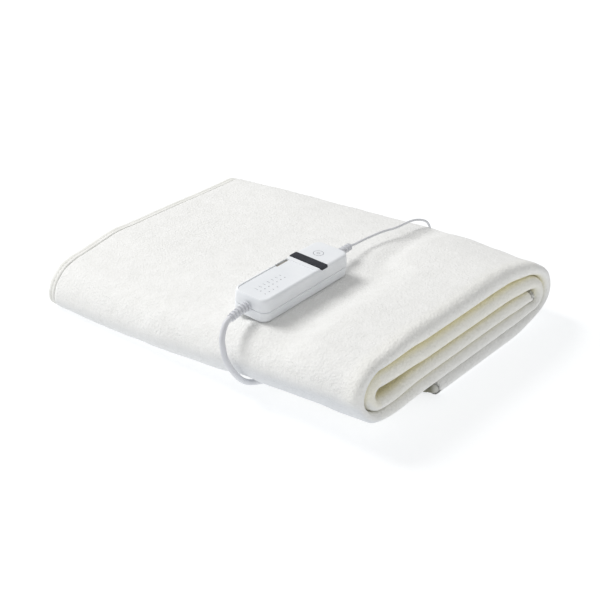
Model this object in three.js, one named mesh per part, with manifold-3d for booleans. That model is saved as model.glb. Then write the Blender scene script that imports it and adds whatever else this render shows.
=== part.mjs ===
import * as THREE from "three";
import { mergeVertices } from "three/addons/utils/BufferGeometryUtils.js";
import Module from "manifold-3d";

// A single electric underblanket, doubled over its width and rolled flat along its length into a
// pile of five doubled layers, with its controller lying on top.
// Millimetres. X runs from the open bound edges to the folded end, Y from the near side to the far
// side, Z up from the floor.

const { clamp, degToRad, lerp, smoothstep } = THREE.MathUtils;
const TAU = 2 * Math.PI;

// Cloth: its flat size, how thick one ply is, and how thin it is pressed where the tape holds it.
const CLOTH = { width: 811.6, ply: 5.5, pressedPly: 1.8 };
const HALF_WIDTH = CLOTH.width / 2;
const FOLD_END = 206;
const OUTER_END = -50;
const LAYER_GAP = 0.9;

// Tape sewn round the cloth's edge: how far it reaches in, how far out, and its thickness.
const TAPE = { reach: 8.3, overhang: 1.1, edge: 1.7, inner: 2.3, gap: 0.3 };
const SHOULDER = { start: TAPE.reach + TAPE.gap, end: 12 };

// Air between the two plies of each doubled layer at the folded end, one row a layer from the floor up.
const LAYERS = [
  { near: 2.5, middle: 2.5, far: 2.0 },
  { near: 0.6, middle: 3.5, far: 2.0 },
  { near: 2.0, middle: 4.0, far: 3.0 },
  { near: 8.0, middle: 8.5, far: 5.0 },
  { near: 2.5, middle: 7.0, far: 3.5 },
];
const LEAST_AIR = 0.4;
const PINCH = { air: -0.1, length: 16 };
const PUFF_LENGTH = 60;
const AIR_TAPER = 1.4;

// The pile's outline along its length: how far its near and far sides reach, how far the upper
// layers sag past the bottom layer's end, and how the near and far turns depart from round.
const SECTIONS = [
  { x: -200, near: -153, far: 147, sag: 11.9, slump: 9, lean: 15, lift: 0, farSlump: -1 },
  { x: -100, near: -158, far: 158, sag: 11.6, slump: 5, lean: 8, lift: 1, farSlump: 1 },
  { x: 0, near: -163, far: 166, sag: 7.5, slump: 2, lean: 2, lift: 4.4, farSlump: 4 },
  { x: 100, near: -167, far: 169, sag: 2.5, slump: 0, lean: 0, lift: 13, farSlump: 5 },
  { x: 200, near: -166.8, far: 162.3, sag: 1.5, slump: 0, lean: 0, lift: 17.5, farSlump: 10.2 },
];
const SAG = { start: -55, length: 75 };
const SLUMP = { start: 8, length: 36 };
const LEAN = { start: 30, length: 30 };
const LIFT = { start: 35, length: 64 };
const FAR_SLUMP = { start: 50, end: 15 };
// The foot of the far turn is drawn up towards the folded end.
const FAR_LIFT = { height: 10.5, from: 100, start: 72, end: 10 };

// The rolled turns: how far each inner turn bulges past its middle, at the open and folded ends.
const TURNS = {
  near: { side: -1, inner: [2, 3], outer: [1, 4], reach: [6.1, 11.5] },
  far: { side: 1, inner: [1, 3], outer: [0, 4], reach: [12, 12] },
};
const HOLLOW = { height: 8, length: 75 };
const TIP = { open: -3, folded: 2.5 };
const CORNER = { cut: 4, from: 150, to: 190 };

// The cloth from its inner end to its outer end. A run lies flat in one layer, a turn joins two.
const PATH = [
  { layer: 2, heads: "near", steps: 7 },
  { turn: "near", ring: "inner", layers: [2, 3], steps: 8 },
  { layer: 3, heads: "far", steps: 10 },
  { turn: "far", ring: "inner", layers: [3, 1], steps: 8 },
  { layer: 1, heads: "near", steps: 7 },
  { turn: "near", ring: "outer", layers: [1, 4], steps: 8 },
  { layer: 4, heads: "far", steps: 10 },
  { turn: "far", ring: "outer", layers: [4, 0], steps: 8 },
  { layer: 0, heads: "near", steps: 6 },
];

// Soft troughs (negative) and ridges (positive) across the top, each along a line.
const CREASES = [
  { from: [94, 12], to: [72, 140], height: -3.0, width: 14 },
  { from: [-150, 110], to: [150, 60], height: 1.4, width: 40 },
  { from: [-190, -40], to: [20, -70], height: -1.2, width: 35 },
  { from: [130, -110], to: [190, 40], height: 1.5, width: 25 },
];

// The mains cord holds the near edge up like a tent where it dives under the pile, and runs under it
// in a shallow channel.
const TENT = { x: 72, height: 4, width: 14 };
const CHANNEL = { x: 80, floor: 8, width: 24, lift: 7.2, fade: 45 };

// Distances from the open edge at which a ply is divided across its width.
const DIVISIONS = [0, SHOULDER.start, SHOULDER.end, 66, 122, 178, 226, 254, 272, 288, 304, 345, 378];
const BEND_STEPS = 6;

// Controller: the box of its shells, the height of the seam, and how it lies.
const CONTROLLER = { width: 40, length: 127, height: 24, seam: 10.5, corner: 7, bow: 2 };
const CONTROLLER_PLACE = { x: 59.5, y: -75, z: 72, yaw: 0.7, pitch: 1.2, roll: 3.7 };
const SEAM_GAP = 0.3;
const WINDOW = { start: 17.7, length: 11.3, depth: 0.9 };
const PANEL = { end: 11.4, rim: 3, depth: 0.6 };
const SLOT = { start: -5, length: 18, width: 4, depth: 3 };
const SEAT = { gap: 0.35, margin: 20, fade: 36 };

const MAINS = { diameter: 5.5, sides: 8, step: 14 };
const LEAD = { diameter: 2.4, sides: 8, step: 11 };
const MAINS_RELIEF = { length: 22, root: 9.2, tip: 7.2, ribs: 5, droop: 14, turn: 0 };
const LEAD_RELIEF = { length: 26, root: 7.6, tip: 5.4, ribs: 4, droop: 6, turn: -7 };
const RELIEF_HEIGHT = 12.8;
const RELIEF_GAP = 0.3;
const RELIEF_RUN = 5;

// The mains cord from its relief down the near side, under the pile and out to the coil behind it.
const MAINS_ROUTE = [
  [61.8, -170, 74.8],
  [63.1, -173.5, 70.2],
  [64.2, -175.7, 64.9],
  [65.6, -176.3, 59.2],
  [66.6, -176, 52.5],
  [68.6, -174.8, 45],
  [71.6, -171.8, 36.4],
  [73.2, -166.8, 28.2],
  [73, -160, 21],
  [71.8, -152, 15],
  [71, -143, 10.5],
  [71.4, -133, 7],
  [73.2, -122, 4.6],
  [76, -110, 3.2],
  [78.8, -97, 2.8],
  [80, -84, 2.8],
  [80, -20, 2.8],
  [80, 60, 2.8],
  [80, 130, 2.8],
  [80, 176, 2.8],
  [79.9, 185.4, 3.2],
];

// The rest of the mains cord is put away behind the pile as a coil two turns high, with a tie round it.
const COIL = { x: 44.5, y: 206, radius: 30, ring: 16.6, bottom: 1.4, height: 11.2, sides: 40 };
const TIE = { width: 7, thickness: 0.8, gap: 0.6 };
const TAIL_ROUTE = [
  [9, 226.4, 9.7],
  [2, 222.4, 9.1],
  [-5, 218.3, 8],
  [-11.8, 214.4, 6.95],
];

// The plug lies flat on the floor at the tail's end, pointing away from it.
const PLUG = { x: -30, y: 203.9, z: 6.85, heading: 210, gap: 0.3 };
const PLUG_RELIEF = { length: 20, root: 10, tip: 7, ribs: 4, droop: 0, turn: 0 };
const PLUG_SHAPE = [
  { along: 0, width: 15, height: 10.5 },
  { along: 4, width: 20, height: 12 },
  { along: 12, width: 31, height: 13.7 },
  { along: 18, width: 35.3, height: 13.7 },
  { along: 34.5, width: 35.3, height: 13.7 },
  { along: 36, width: 33.5, height: 12.4 },
];
const PIN = { diameter: 4, length: 19, spacing: 18.6 };

// The thin lead from its relief over the pile's far edge, down behind it, along its foot and into the
// open end of the roll.
const LEAD_ROUTE = [
  [56.9, 24.2, 84.5],
  [56.3, 32.7, 83.8],
  [56.4, 42.9, 83.6],
  [57.9, 53.2, 84],
  [59.6, 63.1, 84.4],
  [61.6, 72.5, 84.3],
  [63.2, 80.9, 83.7],
  [63.1, 91.4, 82.5],
  [60.9, 105.5, 80.2],
  [58.4, 119.8, 77.6],
  [57.1, 131.6, 74.6],
  [56.5, 141.4, 71.2],
  [56, 148.9, 67.8],
  [55.3, 155.4, 63.9],
  [54.2, 161.3, 58.6],
  [52.9, 166.6, 51.6],
  [51.7, 169.9, 42.5],
  [50.6, 171, 32],
  [50.5, 170.4, 22],
  [50, 168, 13],
  [47.5, 163, 5.5],
  [40, 158.5, 1.9],
  [20, 157.5, 1.3],
  [-20, 155, 1.3],
  [-60, 152, 1.3],
  [-100, 149, 1.3],
  [-150, 143.5, 1.3],
  [-188, 139, 1.4],
  [-202, 136.5, 2],
  [-210.5, 131, 6],
  [-213, 124.5, 14],
  [-212.3, 119.5, 23],
  [-207, 117.9, 28.8],
  [-198, 117.8, 30.2],
  [-186, 117.8, 30.3],
];

// Value of a column of SECTIONS at x, on a smooth line through the rows.
function outline(column, x) {
  const pitch = SECTIONS[1].x - SECTIONS[0].x;
  const place = clamp((x - SECTIONS[0].x) / pitch, 0, SECTIONS.length - 1 - 1e-9);
  const i = Math.floor(place);
  const t = place - i;
  const value = (k) => SECTIONS[clamp(k, 0, SECTIONS.length - 1)][column];
  const [a, b, c, d] = [value(i - 1), value(i), value(i + 1), value(i + 2)];
  return b + 0.5 * t * (c - a + t * (2 * a - 5 * b + 4 * c - d + t * (3 * (b - c) + d - a)));
}

// How much of the folded end's air is left at x.
function taper(x) {
  return Math.pow(clamp((x + FOLD_END) / (2 * FOLD_END - 10), 0, 1), AIR_TAPER);
}

// Thickness of the doubled cloth on the way round a turn between two layers, at a share from the
// lower to the upper one.
function turnThick(name, [lower, upper], x, share = 0.5) {
  const full = lerp(LAYERS[lower][name], LAYERS[upper][name], share);
  return 2 * CLOTH.ply + lerp(LEAST_AIR, full, taper(x));
}

function turnReach(name, x) {
  return lerp(...TURNS[name].reach, taper(x));
}

// Where the near and far turns have their middle at x.
function turnMiddle(name, x) {
  const { side, inner, outer } = TURNS[name];
  const thick = turnThick(name, outer, x) + LAYER_GAP + turnThick(name, inner, x) / 2;
  return outline(name, x) - side * (thick + turnReach(name, x));
}

function air(layer, x, y) {
  const row = LAYERS[layer];
  const start = turnMiddle("near", x);
  const end = turnMiddle("far", x);
  const near = 1 - smoothstep(y, start, start + PUFF_LENGTH);
  const far = smoothstep(y, end - PUFF_LENGTH, end);
  const full = near * row.near + far * row.far + (1 - near - far) * row.middle;
  return lerp(LEAST_AIR, full, taper(x));
}

function thickness(layer, x, y) {
  return 2 * CLOTH.ply + air(layer, x, y);
}

// Height of the middle of a doubled layer, with the layers below it.
function middleHeight(layer, x, y) {
  const start = turnMiddle("near", x);
  let z = 0;
  for (let k = 0; k < layer; k++) z += thickness(k, x, y) + LAYER_GAP;
  if (layer > 2) z += HOLLOW.height * taper(x) * (1 - smoothstep(y, start, start + HOLLOW.length));
  return z + thickness(layer, x, y) / 2;
}

// Point and outward normal on the line of a turn, from angle -90 degrees below to 90 above.
function onTurn(name, ring, x, angle) {
  const { side, inner, outer } = TURNS[name];
  const reach = turnReach(name, x);
  const y = turnMiddle(name, x);
  const [low, high] = inner.map((layer) => middleHeight(layer, x, y));
  const half = (high - low) / 2;
  const point = new THREE.Vector2(y + side * reach * Math.cos(angle), (high + low) / 2 + half * Math.sin(angle));
  const normal = new THREE.Vector2((side * Math.cos(angle)) / reach, Math.sin(angle) / half).normalize();
  if (ring === "outer") {
    const aside = (turnThick(name, outer, x) + turnThick(name, inner, x)) / 2 + LAYER_GAP;
    const above = middleHeight(outer[1], x, y) - high;
    const below = low - middleHeight(outer[0], x, y);
    const upright = Math.sin(angle) > 0 ? above : below;
    point.addScaledVector(normal, lerp(aside, upright, Math.sin(angle) ** 2));
  }
  return { point, normal };
}

// Where the inner end of the cloth stops, inside the far turn.
function tipEnd(x) {
  return turnMiddle("far", x) + lerp(TIP.open, TIP.folded, taper(x));
}

// The plies come together towards the cloth's two ends.
function pinched(open, fromEnd) {
  return lerp(PINCH.air, open, smoothstep(fromEnd, 0, PINCH.length));
}

// The middle line of the doubled cloth at x: a place is a row of PATH, a share of it from 0 to 1, and
// millimetres further along.
function middleLine(x, place) {
  const row = PATH[place.row];
  if (row.turn) {
    const rising = row.layers[1] > row.layers[0];
    const angle = lerp(-1, 1, rising ? place.share : 1 - place.share) * (Math.PI / 2);
    const { point, normal } = onTurn(row.turn, row.ring, x, angle);
    const thick = turnThick(row.turn, TURNS[row.turn][row.ring], x, (Math.sin(angle) + 1) / 2);
    return { point, normal, air: thick - 2 * CLOTH.ply };
  }
  const forward = row.heads === "far";
  const start = place.row === 0 ? tipEnd(x) : turnMiddle(forward ? "near" : "far", x);
  const end = place.row === PATH.length - 1 ? OUTER_END : turnMiddle(row.heads, x);
  const y = lerp(start, end, place.share) + (place.beyond ?? 0) * (forward ? 1 : -1);
  const point = new THREE.Vector2(y, middleHeight(row.layer, x, y));
  const fromEnd = place.row === 0 ? start - y : place.row === PATH.length - 1 ? y - end : Infinity;
  const normal = new THREE.Vector2(0, forward ? 1 : -1);
  return { point, normal, air: pinched(air(row.layer, x, y), fromEnd) };
}

// Height of a crease field at a point of the top.
function creases(x, y) {
  let height = 0;
  for (const { from, to, height: peak, width } of CREASES) {
    const [dx, dy] = [to[0] - from[0], to[1] - from[1]];
    const along = clamp(((x - from[0]) * dx + (y - from[1]) * dy) / (dx * dx + dy * dy), 0, 1);
    const away = Math.hypot(x - from[0] - along * dx, y - from[1] - along * dy);
    height += peak * Math.exp(-((away / width) ** 2));
  }
  return height;
}

const controllerFrame = new THREE.Group();
controllerFrame.position.set(CONTROLLER_PLACE.x, CONTROLLER_PLACE.y, CONTROLLER_PLACE.z);
controllerFrame.rotation.set(
  degToRad(CONTROLLER_PLACE.pitch),
  degToRad(CONTROLLER_PLACE.roll),
  degToRad(CONTROLLER_PLACE.yaw),
  "ZXY",
);
controllerFrame.updateMatrixWorld(true);

// Height of the regular pile's top.
function regularTop(x, y) {
  return middleHeight(4, x, y) + thickness(4, x, y) / 2;
}

// How far the layers above the bottom one sink past its end.
function sag(x, y) {
  return outline("sag", x) * (1 - smoothstep(y, SAG.start - SAG.length, SAG.start));
}

// How far the controller presses the top down at x and y.
function press(x, y, top) {
  const local = controllerFrame.worldToLocal(new THREE.Vector3(x, y, CONTROLLER_PLACE.z));
  const outX = Math.max(0, Math.abs(local.x) - CONTROLLER.width / 2 - SEAT.margin);
  const outY = Math.max(0, Math.abs(local.y) - CONTROLLER.length / 2 - SEAT.margin);
  const weight = 1 - smoothstep(Math.hypot(outX, outY), 0, SEAT.fade);
  const seat = CONTROLLER_PLACE.z - local.z - SEAT.gap;
  return Math.min(0, seat - top) * weight;
}

// Moves a point of the regular pile to where the real one lies. The near side sags, slumps and leans
// out at the open end and lifts at the folded end, the far side slumps, the creases and the
// controller shape the top, and the cord's channel the bottom.
function settle(point, row) {
  const { x, y } = point;
  const top = regularTop(x, y);
  const high = clamp(point.z / top, 0, 1);
  const low = 1 - high;
  const inner = turnMiddle("near", x);
  const far = outline("far", x);
  const sunk = row < PATH.length - 1 ? sag(x, y) : 0;
  const slump = outline("slump", x) * clamp((inner + SLUMP.start - y) / SLUMP.length, 0, 1);
  const tent = TENT.height * Math.exp(-(((x - TENT.x) / TENT.width) ** 2));
  const lift = (outline("lift", x) + tent) * clamp((inner + LIFT.start - y) / LIFT.length, 0, 1) ** 2;
  const farSlump = outline("farSlump", x) * smoothstep(y, far - FAR_SLUMP.start, far - FAR_SLUMP.end);
  const resting = top - sunk - slump - farSlump + creases(x, y);
  const shaped = (creases(x, y) + press(x, y, resting)) * high ** 5;
  const aside = Math.max(0, Math.abs(x - CHANNEL.x) - CHANNEL.floor);
  const supported = row < PATH.length - 1 ? smoothstep(y, SAG.start - CHANNEL.fade, SAG.start) : 1;
  const channel = CHANNEL.lift * (1 - smoothstep(aside, 0, CHANNEL.width)) * supported * low ** 2;
  const lean = outline("lean", x) * clamp((inner + LEAN.start - y) / LEAN.length, 0, 1);
  const farEdge = smoothstep(x, FAR_LIFT.from, FOLD_END) * smoothstep(y, far - FAR_LIFT.start, far - FAR_LIFT.end);
  const farLift = FAR_LIFT.height * farEdge * low ** 3;
  point.z += shaped + channel - sunk - (slump + farSlump) * high + lift * low + farLift;
  point.y -= lean * low ** 2;
  return point;
}

// A point of the folded cloth from its flat place: a place along the length, across in millimetres
// from the fold (outer ply positive), and off in millimetres from the middle of the ply.
function folded(place, across, off) {
  const side = Math.sign(across) || 1;
  const foldAir = middleLine(FOLD_END, place).air;
  const radius = (CLOTH.ply + foldAir) / 2;
  const bendX = FOLD_END - CLOTH.ply / 2 - radius;
  const past = Math.abs(across) - (radius * Math.PI) / 2;
  const legX = Math.min(bendX - past, bendX);
  const x = legX - rounding(legX, place);
  const line = middleLine(x, place);
  const bend = past < 0 ? across / radius : (side * Math.PI) / 2;
  const spread = past < 0 ? radius * Math.sin(bend) : (side * (CLOTH.ply + line.air)) / 2;
  const out = spread + off * (past < 0 ? Math.sin(bend) : side);
  const point = new THREE.Vector3(
    x + (past < 0 ? (radius + off) * Math.cos(bend) : 0),
    line.point.x + line.normal.x * out,
    line.point.y + line.normal.y * out,
  );
  return settle(point, place.row);
}

// How far a corner of the folded end is drawn in near the cloth's two ends.
function rounding(x, { row, beyond }) {
  const atEnd = beyond !== undefined && (row === 0 || row === PATH.length - 1);
  if (!atEnd) return 0;
  const left = Math.max(0, 1 - (row === 0 ? beyond : -beyond) / SHOULDER.start);
  return CORNER.cut * left * smoothstep(x, CORNER.from, CORNER.to);
}

// A geometry from points and triangles, turned to face outwards.
function closedGeometry(points, triangles) {
  const volume = triangles.reduce((sum, [a, b, c]) => {
    return sum + points[a].dot(new THREE.Vector3().crossVectors(points[b], points[c]));
  }, 0);
  const faces = volume < 0 ? triangles.map(([a, b, c]) => [a, c, b]) : triangles;
  const geometry = new THREE.BufferGeometry().setFromPoints(points);
  geometry.setIndex(faces.flat());
  geometry.computeVertexNormals();
  return geometry;
}

// A closed skin over equal rings of points. An open row of rings is closed at both ends by zipping
// each end ring's first points to its last ones.
function skin(rings, looped = false) {
  const size = rings[0].length;
  const triangles = [];
  for (let i = 0; i < rings.length - (looped ? 0 : 1); i++)
    for (let j = 0; j < size; j++) {
      const here = i * size;
      const next = ((i + 1) % rings.length) * size;
      const k = (j + 1) % size;
      triangles.push([here + j, here + k, next + k], [here + j, next + k, next + j]);
    }
  if (!looped)
    for (const [start, flip] of [[0, false], [(rings.length - 1) * size, true]])
      for (let j = 0; j < size / 2 - 1; j++) {
        const [a, b, c, d] = [start + j, start + j + 1, start + size - 2 - j, start + size - 1 - j];
        triangles.push(flip ? [a, b, c] : [c, b, a], flip ? [a, c, d] : [d, c, a]);
      }
  return closedGeometry(rings.flat(), triangles);
}

// Draws the divisions of a run closer together towards its ends.
function eased(t) {
  return lerp(t, 0.5 - 0.5 * Math.cos(Math.PI * t), 0.7);
}

// Places along the length at which the cloth is divided, with the tape's shoulders at both ends.
function placesAlong() {
  const places = [0, SHOULDER.start, SHOULDER.end].map((beyond) => ({ row: 0, share: 0, beyond }));
  PATH.forEach(({ turn, steps }, row) => {
    for (let i = row ? 0 : 1; i < steps; i++) places.push({ row, share: turn ? i / steps : eased(i / steps) });
  });
  const row = PATH.length - 1;
  for (const beyond of [-SHOULDER.end, -SHOULDER.start, 0]) places.push({ row, share: 1, beyond });
  return places;
}

// Places across the width, from the inner ply's open edge to the outer ply's.
function placesAcross() {
  const ply = DIVISIONS.map((fromEdge) => HALF_WIDTH - fromEdge);
  const bendArc = ((CLOTH.ply + LAYERS[3].middle) / 2) * (Math.PI / 2);
  const bend = [];
  for (let i = 0; i <= BEND_STEPS; i++) bend.push(lerp(-bendArc, bendArc, i / BEND_STEPS));
  return [...ply.map((across) => -across), ...bend, ...ply.reverse()];
}

function halfThick(place, across) {
  const fromSide = HALF_WIDTH - Math.abs(across);
  const atEnd = place.row === 0 || place.row === PATH.length - 1;
  const fromEnd = atEnd && place.beyond !== undefined ? Math.abs(place.beyond) : Infinity;
  const pressed = Math.min(fromSide, fromEnd) < SHOULDER.end - 0.1;
  return (pressed ? CLOTH.pressedPly : CLOTH.ply) / 2;
}

function blanketGeometry() {
  const across = placesAcross();
  const rings = placesAlong().map((place) => {
    const over = across.map((v) => folded(place, v, halfThick(place, v)));
    const under = across.map((v) => folded(place, v, -halfThick(place, v)));
    return [...over, ...under.reverse()];
  });
  return skin(rings);
}

// The tape goes once round the flat cloth's four edges. Each stop is a place on the edge with the
// way inwards, along and across.
function tapeStops() {
  const inside = placesAlong().filter((place) => !place.beyond && !isEnd(place));
  const start = { row: 0, share: 0, beyond: 0 };
  const end = { row: PATH.length - 1, share: 1, beyond: 0 };
  const across = placesAcross().slice(1, -1);
  const stops = [{ place: start, across: -HALF_WIDTH, inward: [1, 1] }];
  for (const v of across) stops.push({ place: start, across: v, inward: [1, 0] });
  stops.push({ place: start, across: HALF_WIDTH, inward: [1, -1] });
  for (const place of inside) stops.push({ place, across: HALF_WIDTH, inward: [0, -1] });
  stops.push({ place: end, across: HALF_WIDTH, inward: [-1, -1] });
  for (const v of across.reverse()) stops.push({ place: end, across: v, inward: [-1, 0] });
  stops.push({ place: end, across: -HALF_WIDTH, inward: [-1, 1] });
  for (const place of inside.reverse()) stops.push({ place, across: -HALF_WIDTH, inward: [0, 1] });
  return stops;
}

function isEnd(place) {
  return (place.row === 0 && place.share === 0) || place.share === 1;
}

function tapeGeometry() {
  const inner = CLOTH.pressedPly / 2 + TAPE.gap;
  const section = [
    [TAPE.reach, TAPE.inner],
    [-TAPE.overhang, TAPE.edge],
    [-TAPE.overhang, -TAPE.edge],
    [TAPE.reach, -TAPE.inner],
    [TAPE.reach, -inner],
    [-TAPE.gap, -inner],
    [-TAPE.gap, inner],
    [TAPE.reach, inner],
  ];
  const rings = tapeStops().map(({ place, across, inward }) =>
    section.map(([inset, off]) => {
      const moved = { ...place, beyond: (place.beyond ?? 0) + inset * inward[0] };
      return folded(moved, across + inset * inward[1], off);
    }),
  );
  return skin(rings, true);
}

// Outline of the controller's shells, drawn in by an inset: rounded corners and bowed ends.
function shellOutline(inset, z) {
  const halfX = CONTROLLER.width / 2 - inset;
  const halfY = CONTROLLER.length / 2 - CONTROLLER.bow - inset;
  const radius = CONTROLLER.corner - inset / 2;
  const points = [];
  for (let i = 0; i < 40; i++) {
    const angle = ((i + 0.5) / 40) * TAU;
    const [c, s] = [Math.cos(angle), Math.sin(angle)];
    const corner = new THREE.Vector2(Math.sign(c) * (halfX - radius), Math.sign(s) * (halfY - radius));
    const turn = Math.atan2(Math.abs(s), Math.abs(c) * 1.35);
    const x = corner.x + radius * Math.cos(turn) * Math.sign(c);
    const y = corner.y + radius * Math.sin(turn) * Math.sign(s);
    const bowed = CONTROLLER.bow * (1 - (x / halfX) ** 2) * clamp(Math.abs(y) / halfY, 0, 1) ** 8;
    points.push(new THREE.Vector3(x, y + Math.sign(s) * bowed, z));
  }
  return points;
}

const wasm = await Module();
wasm.setup();

function toSolid(geometry) {
  const bare = geometry.clone();
  bare.deleteAttribute("normal");
  bare.deleteAttribute("uv");
  const merged = mergeVertices(bare, 1e-4);
  return new wasm.Manifold(
    new wasm.Mesh({
      numProp: 3,
      vertProperties: new Float32Array(merged.attributes.position.array),
      triVerts: new Uint32Array(merged.index.array),
    }),
  );
}

function toGeometry(solid) {
  const mesh = solid.getMesh();
  const geometry = new THREE.BufferGeometry();
  geometry.setAttribute("position", new THREE.BufferAttribute(mesh.vertProperties, 3));
  geometry.setIndex(new THREE.BufferAttribute(mesh.triVerts, 1));
  geometry.computeVertexNormals();
  return geometry;
}

function box(width, depth, height, x, y, z) {
  return new THREE.BoxGeometry(width, depth, height).translate(x, y, z);
}

function baseGeometry() {
  const levels = [
    [3.2, 0],
    [1.2, 1.0],
    [0.5, 3.0],
    [0, CONTROLLER.seam],
  ];
  return skin(levels.map(([inset, z]) => shellOutline(inset, z)));
}

// The upper shell, with the sunken panel, the window's seat and the small slot cut into its top.
function topGeometry() {
  const top = CONTROLLER.height;
  const levels = [
    [0, CONTROLLER.seam + SEAM_GAP],
    [0.6, top - 4],
    [1.0, top - 1.2],
    [2.2, top],
  ];
  const shell = toSolid(skin(levels.map(([inset, z]) => shellOutline(inset, z))));
  const windowSeat = box(
    CONTROLLER.width * 1.2, WINDOW.length, 2 * WINDOW.depth,
    0, WINDOW.start + WINDOW.length / 2, top,
  );
  const slot = box(
    SLOT.width, SLOT.length, 2 * SLOT.depth,
    SLOT.width / 2 - CONTROLLER.width / 2 + 1.2, SLOT.start + SLOT.length / 2, top,
  );
  const panel = box(
    CONTROLLER.width - 2 * PANEL.rim, CONTROLLER.length, 2 * PANEL.depth,
    0, PANEL.end - CONTROLLER.length / 2, top,
  );
  const cuts = [windowSeat, slot, panel].map(toSolid);
  return toGeometry(cuts.reduce((left, cut) => left.subtract(cut), shell));
}

function windowGeometry() {
  const gap = 0.3;
  const depth = WINDOW.length - 2 * gap;
  const height = WINDOW.depth - gap + 0.15;
  const middle = WINDOW.start + WINDOW.length / 2;
  return box(CONTROLLER.width - 2.4, depth, height, 0, middle, CONTROLLER.height - WINDOW.depth + gap + height / 2);
}

// Middle of a ribbed strain relief a share along it: it grows along Y from the origin, and droops and
// turns aside a little on its way.
function reliefMiddle({ length, droop, turn }, share) {
  const down = (degToRad(droop) * share) / 2;
  const aside = (degToRad(turn) * share) / 2;
  const way = new THREE.Vector3(Math.sin(aside), Math.cos(aside) * Math.cos(down), -Math.sin(down));
  return way.multiplyScalar(length * share);
}

function reliefTurn({ droop, turn }, share) {
  return new THREE.Euler(-degToRad(droop) * share, 0, -degToRad(turn) * share);
}

function reliefGeometry(relief) {
  const rings = [];
  const steps = relief.ribs * 3;
  for (let i = 0; i <= steps; i++) {
    const share = i / steps;
    const radius = (lerp(relief.root, relief.tip, share) / 2) * (i % 3 === 2 ? 0.8 : 1);
    const middle = reliefMiddle(relief, share);
    const ring = [];
    for (let k = 0; k < 10; k++) {
      const angle = ((k + 0.5) / 10) * TAU;
      const offset = new THREE.Vector3(radius * Math.cos(angle), 0, radius * Math.sin(angle));
      ring.push(offset.applyEuler(reliefTurn(relief, share)).add(middle));
    }
    rings.push(ring);
  }
  return skin(rings);
}

// Puts something made to grow along Y at one end of the controller, -1 near or 1 far.
function atShellEnd(side, thing) {
  if (side < 0) thing.applyMatrix4(new THREE.Matrix4().makeRotationZ(Math.PI));
  const shift = new THREE.Vector3(0, side * (CONTROLLER.length / 2 + RELIEF_GAP), RELIEF_HEIGHT);
  return thing.isVector3 ? thing.add(shift) : thing.translate(shift.x, shift.y, shift.z);
}

// The first two points of a cord that leaves its relief on the controller, in the part's frame.
function reliefExit(relief, side) {
  const heading = new THREE.Vector3(0, 1, 0).applyEuler(reliefTurn(relief, 1));
  return [RELIEF_GAP, RELIEF_RUN].map((past) => {
    const point = reliefMiddle(relief, 1).addScaledVector(heading, past);
    return controllerFrame.localToWorld(atShellEnd(side, point));
  });
}

function tubeGeometry(route, { diameter, sides, step }) {
  const curve = new THREE.CatmullRomCurve3(route, false, "centripetal");
  const shape = new THREE.Shape();
  for (let k = 0; k < sides; k++) {
    const angle = (k / sides) * TAU;
    shape[k ? "lineTo" : "moveTo"]((diameter / 2) * Math.cos(angle), (diameter / 2) * Math.sin(angle));
  }
  const steps = Math.round(curve.getLength() / step);
  return new THREE.ExtrudeGeometry(shape, { steps, extrudePath: curve, bevelEnabled: false });
}

const vectors = (rows) => rows.map((row) => new THREE.Vector3(...row));

// The coil as one closed ring with rounded edges.
function coilGeometry() {
  const { radius, ring, height, bottom } = COIL;
  const [inner, outer] = [radius - ring / 2, radius + ring / 2];
  const edge = MAINS.diameter / 2;
  const bevel = edge * (1 - Math.SQRT1_2);
  const [low, high] = [bottom, bottom + height];
  const profile = [
    [inner + edge, low],
    [outer - edge, low],
    [outer - bevel, low + bevel],
    [outer, low + edge],
    [outer, high - edge],
    [outer - bevel, high - bevel],
    [outer - edge, high],
    [inner + edge, high],
    [inner + bevel, high - bevel],
    [inner, high - edge],
    [inner, low + edge],
    [inner + bevel, low + bevel],
  ].map(([r, z]) => new THREE.Vector2(r, z));
  profile.push(profile[0].clone());
  return new THREE.LatheGeometry(profile, COIL.sides).rotateX(Math.PI / 2).translate(COIL.x, COIL.y, 0);
}

// A band round the coil's section on its left side.
function tieGeometry() {
  const { radius, ring, height, bottom } = COIL;
  const inner = [ring / 2 + TIE.gap, height / 2 + TIE.gap];
  const outer = inner.map((half) => half + TIE.thickness);
  const shape = rectangle(...outer);
  shape.holes.push(rectangle(...inner));
  return new THREE.ExtrudeGeometry(shape, { depth: TIE.width, bevelEnabled: false })
    .translate(0, 0, -TIE.width / 2)
    .rotateX(Math.PI / 2)
    .translate(COIL.x - radius, COIL.y, bottom + height / 2);
}

function rectangle(halfWidth, halfHeight) {
  const corners = [[-1, -1], [1, -1], [1, 1], [-1, 1]];
  return new THREE.Shape(corners.map(([x, y]) => new THREE.Vector2(x * halfWidth, y * halfHeight)));
}

// The plug's flat body: rounded sections along Y from the relief to the face with the pins.
function plugGeometry() {
  const rings = PLUG_SHAPE.map(({ along, width, height }) => {
    const ring = [];
    for (let k = 0; k < 20; k++) {
      const angle = ((k + 0.5) / 20) * TAU;
      const [c, s] = [Math.cos(angle), Math.sin(angle)];
      const [halfWidth, halfHeight] = [width / 2, height / 2];
      const corner = [Math.sign(c) * (halfWidth - halfHeight), 0];
      ring.push(new THREE.Vector3(corner[0] + halfHeight * c, along, halfHeight * Math.sign(s) * Math.abs(s) ** 0.6));
    }
    return ring;
  });
  return skin(rings);
}

// A round pin with a domed end, side -1 or 1 of the plug's middle.
function pinGeometry(side) {
  const radius = PIN.diameter / 2;
  const start = PLUG_SHAPE.at(-1).along + PLUG.gap;
  const end = start + PIN.length;
  const profile = [
    [0, start],
    [radius, start],
    [radius, end - 1.2],
    [radius * 0.6, end - 0.3],
    [0, end],
  ].map(([r, along]) => new THREE.Vector2(r, along));
  return new THREE.LatheGeometry(profile, 12).translate((side * PIN.spacing) / 2, 0, 0);
}

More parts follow.
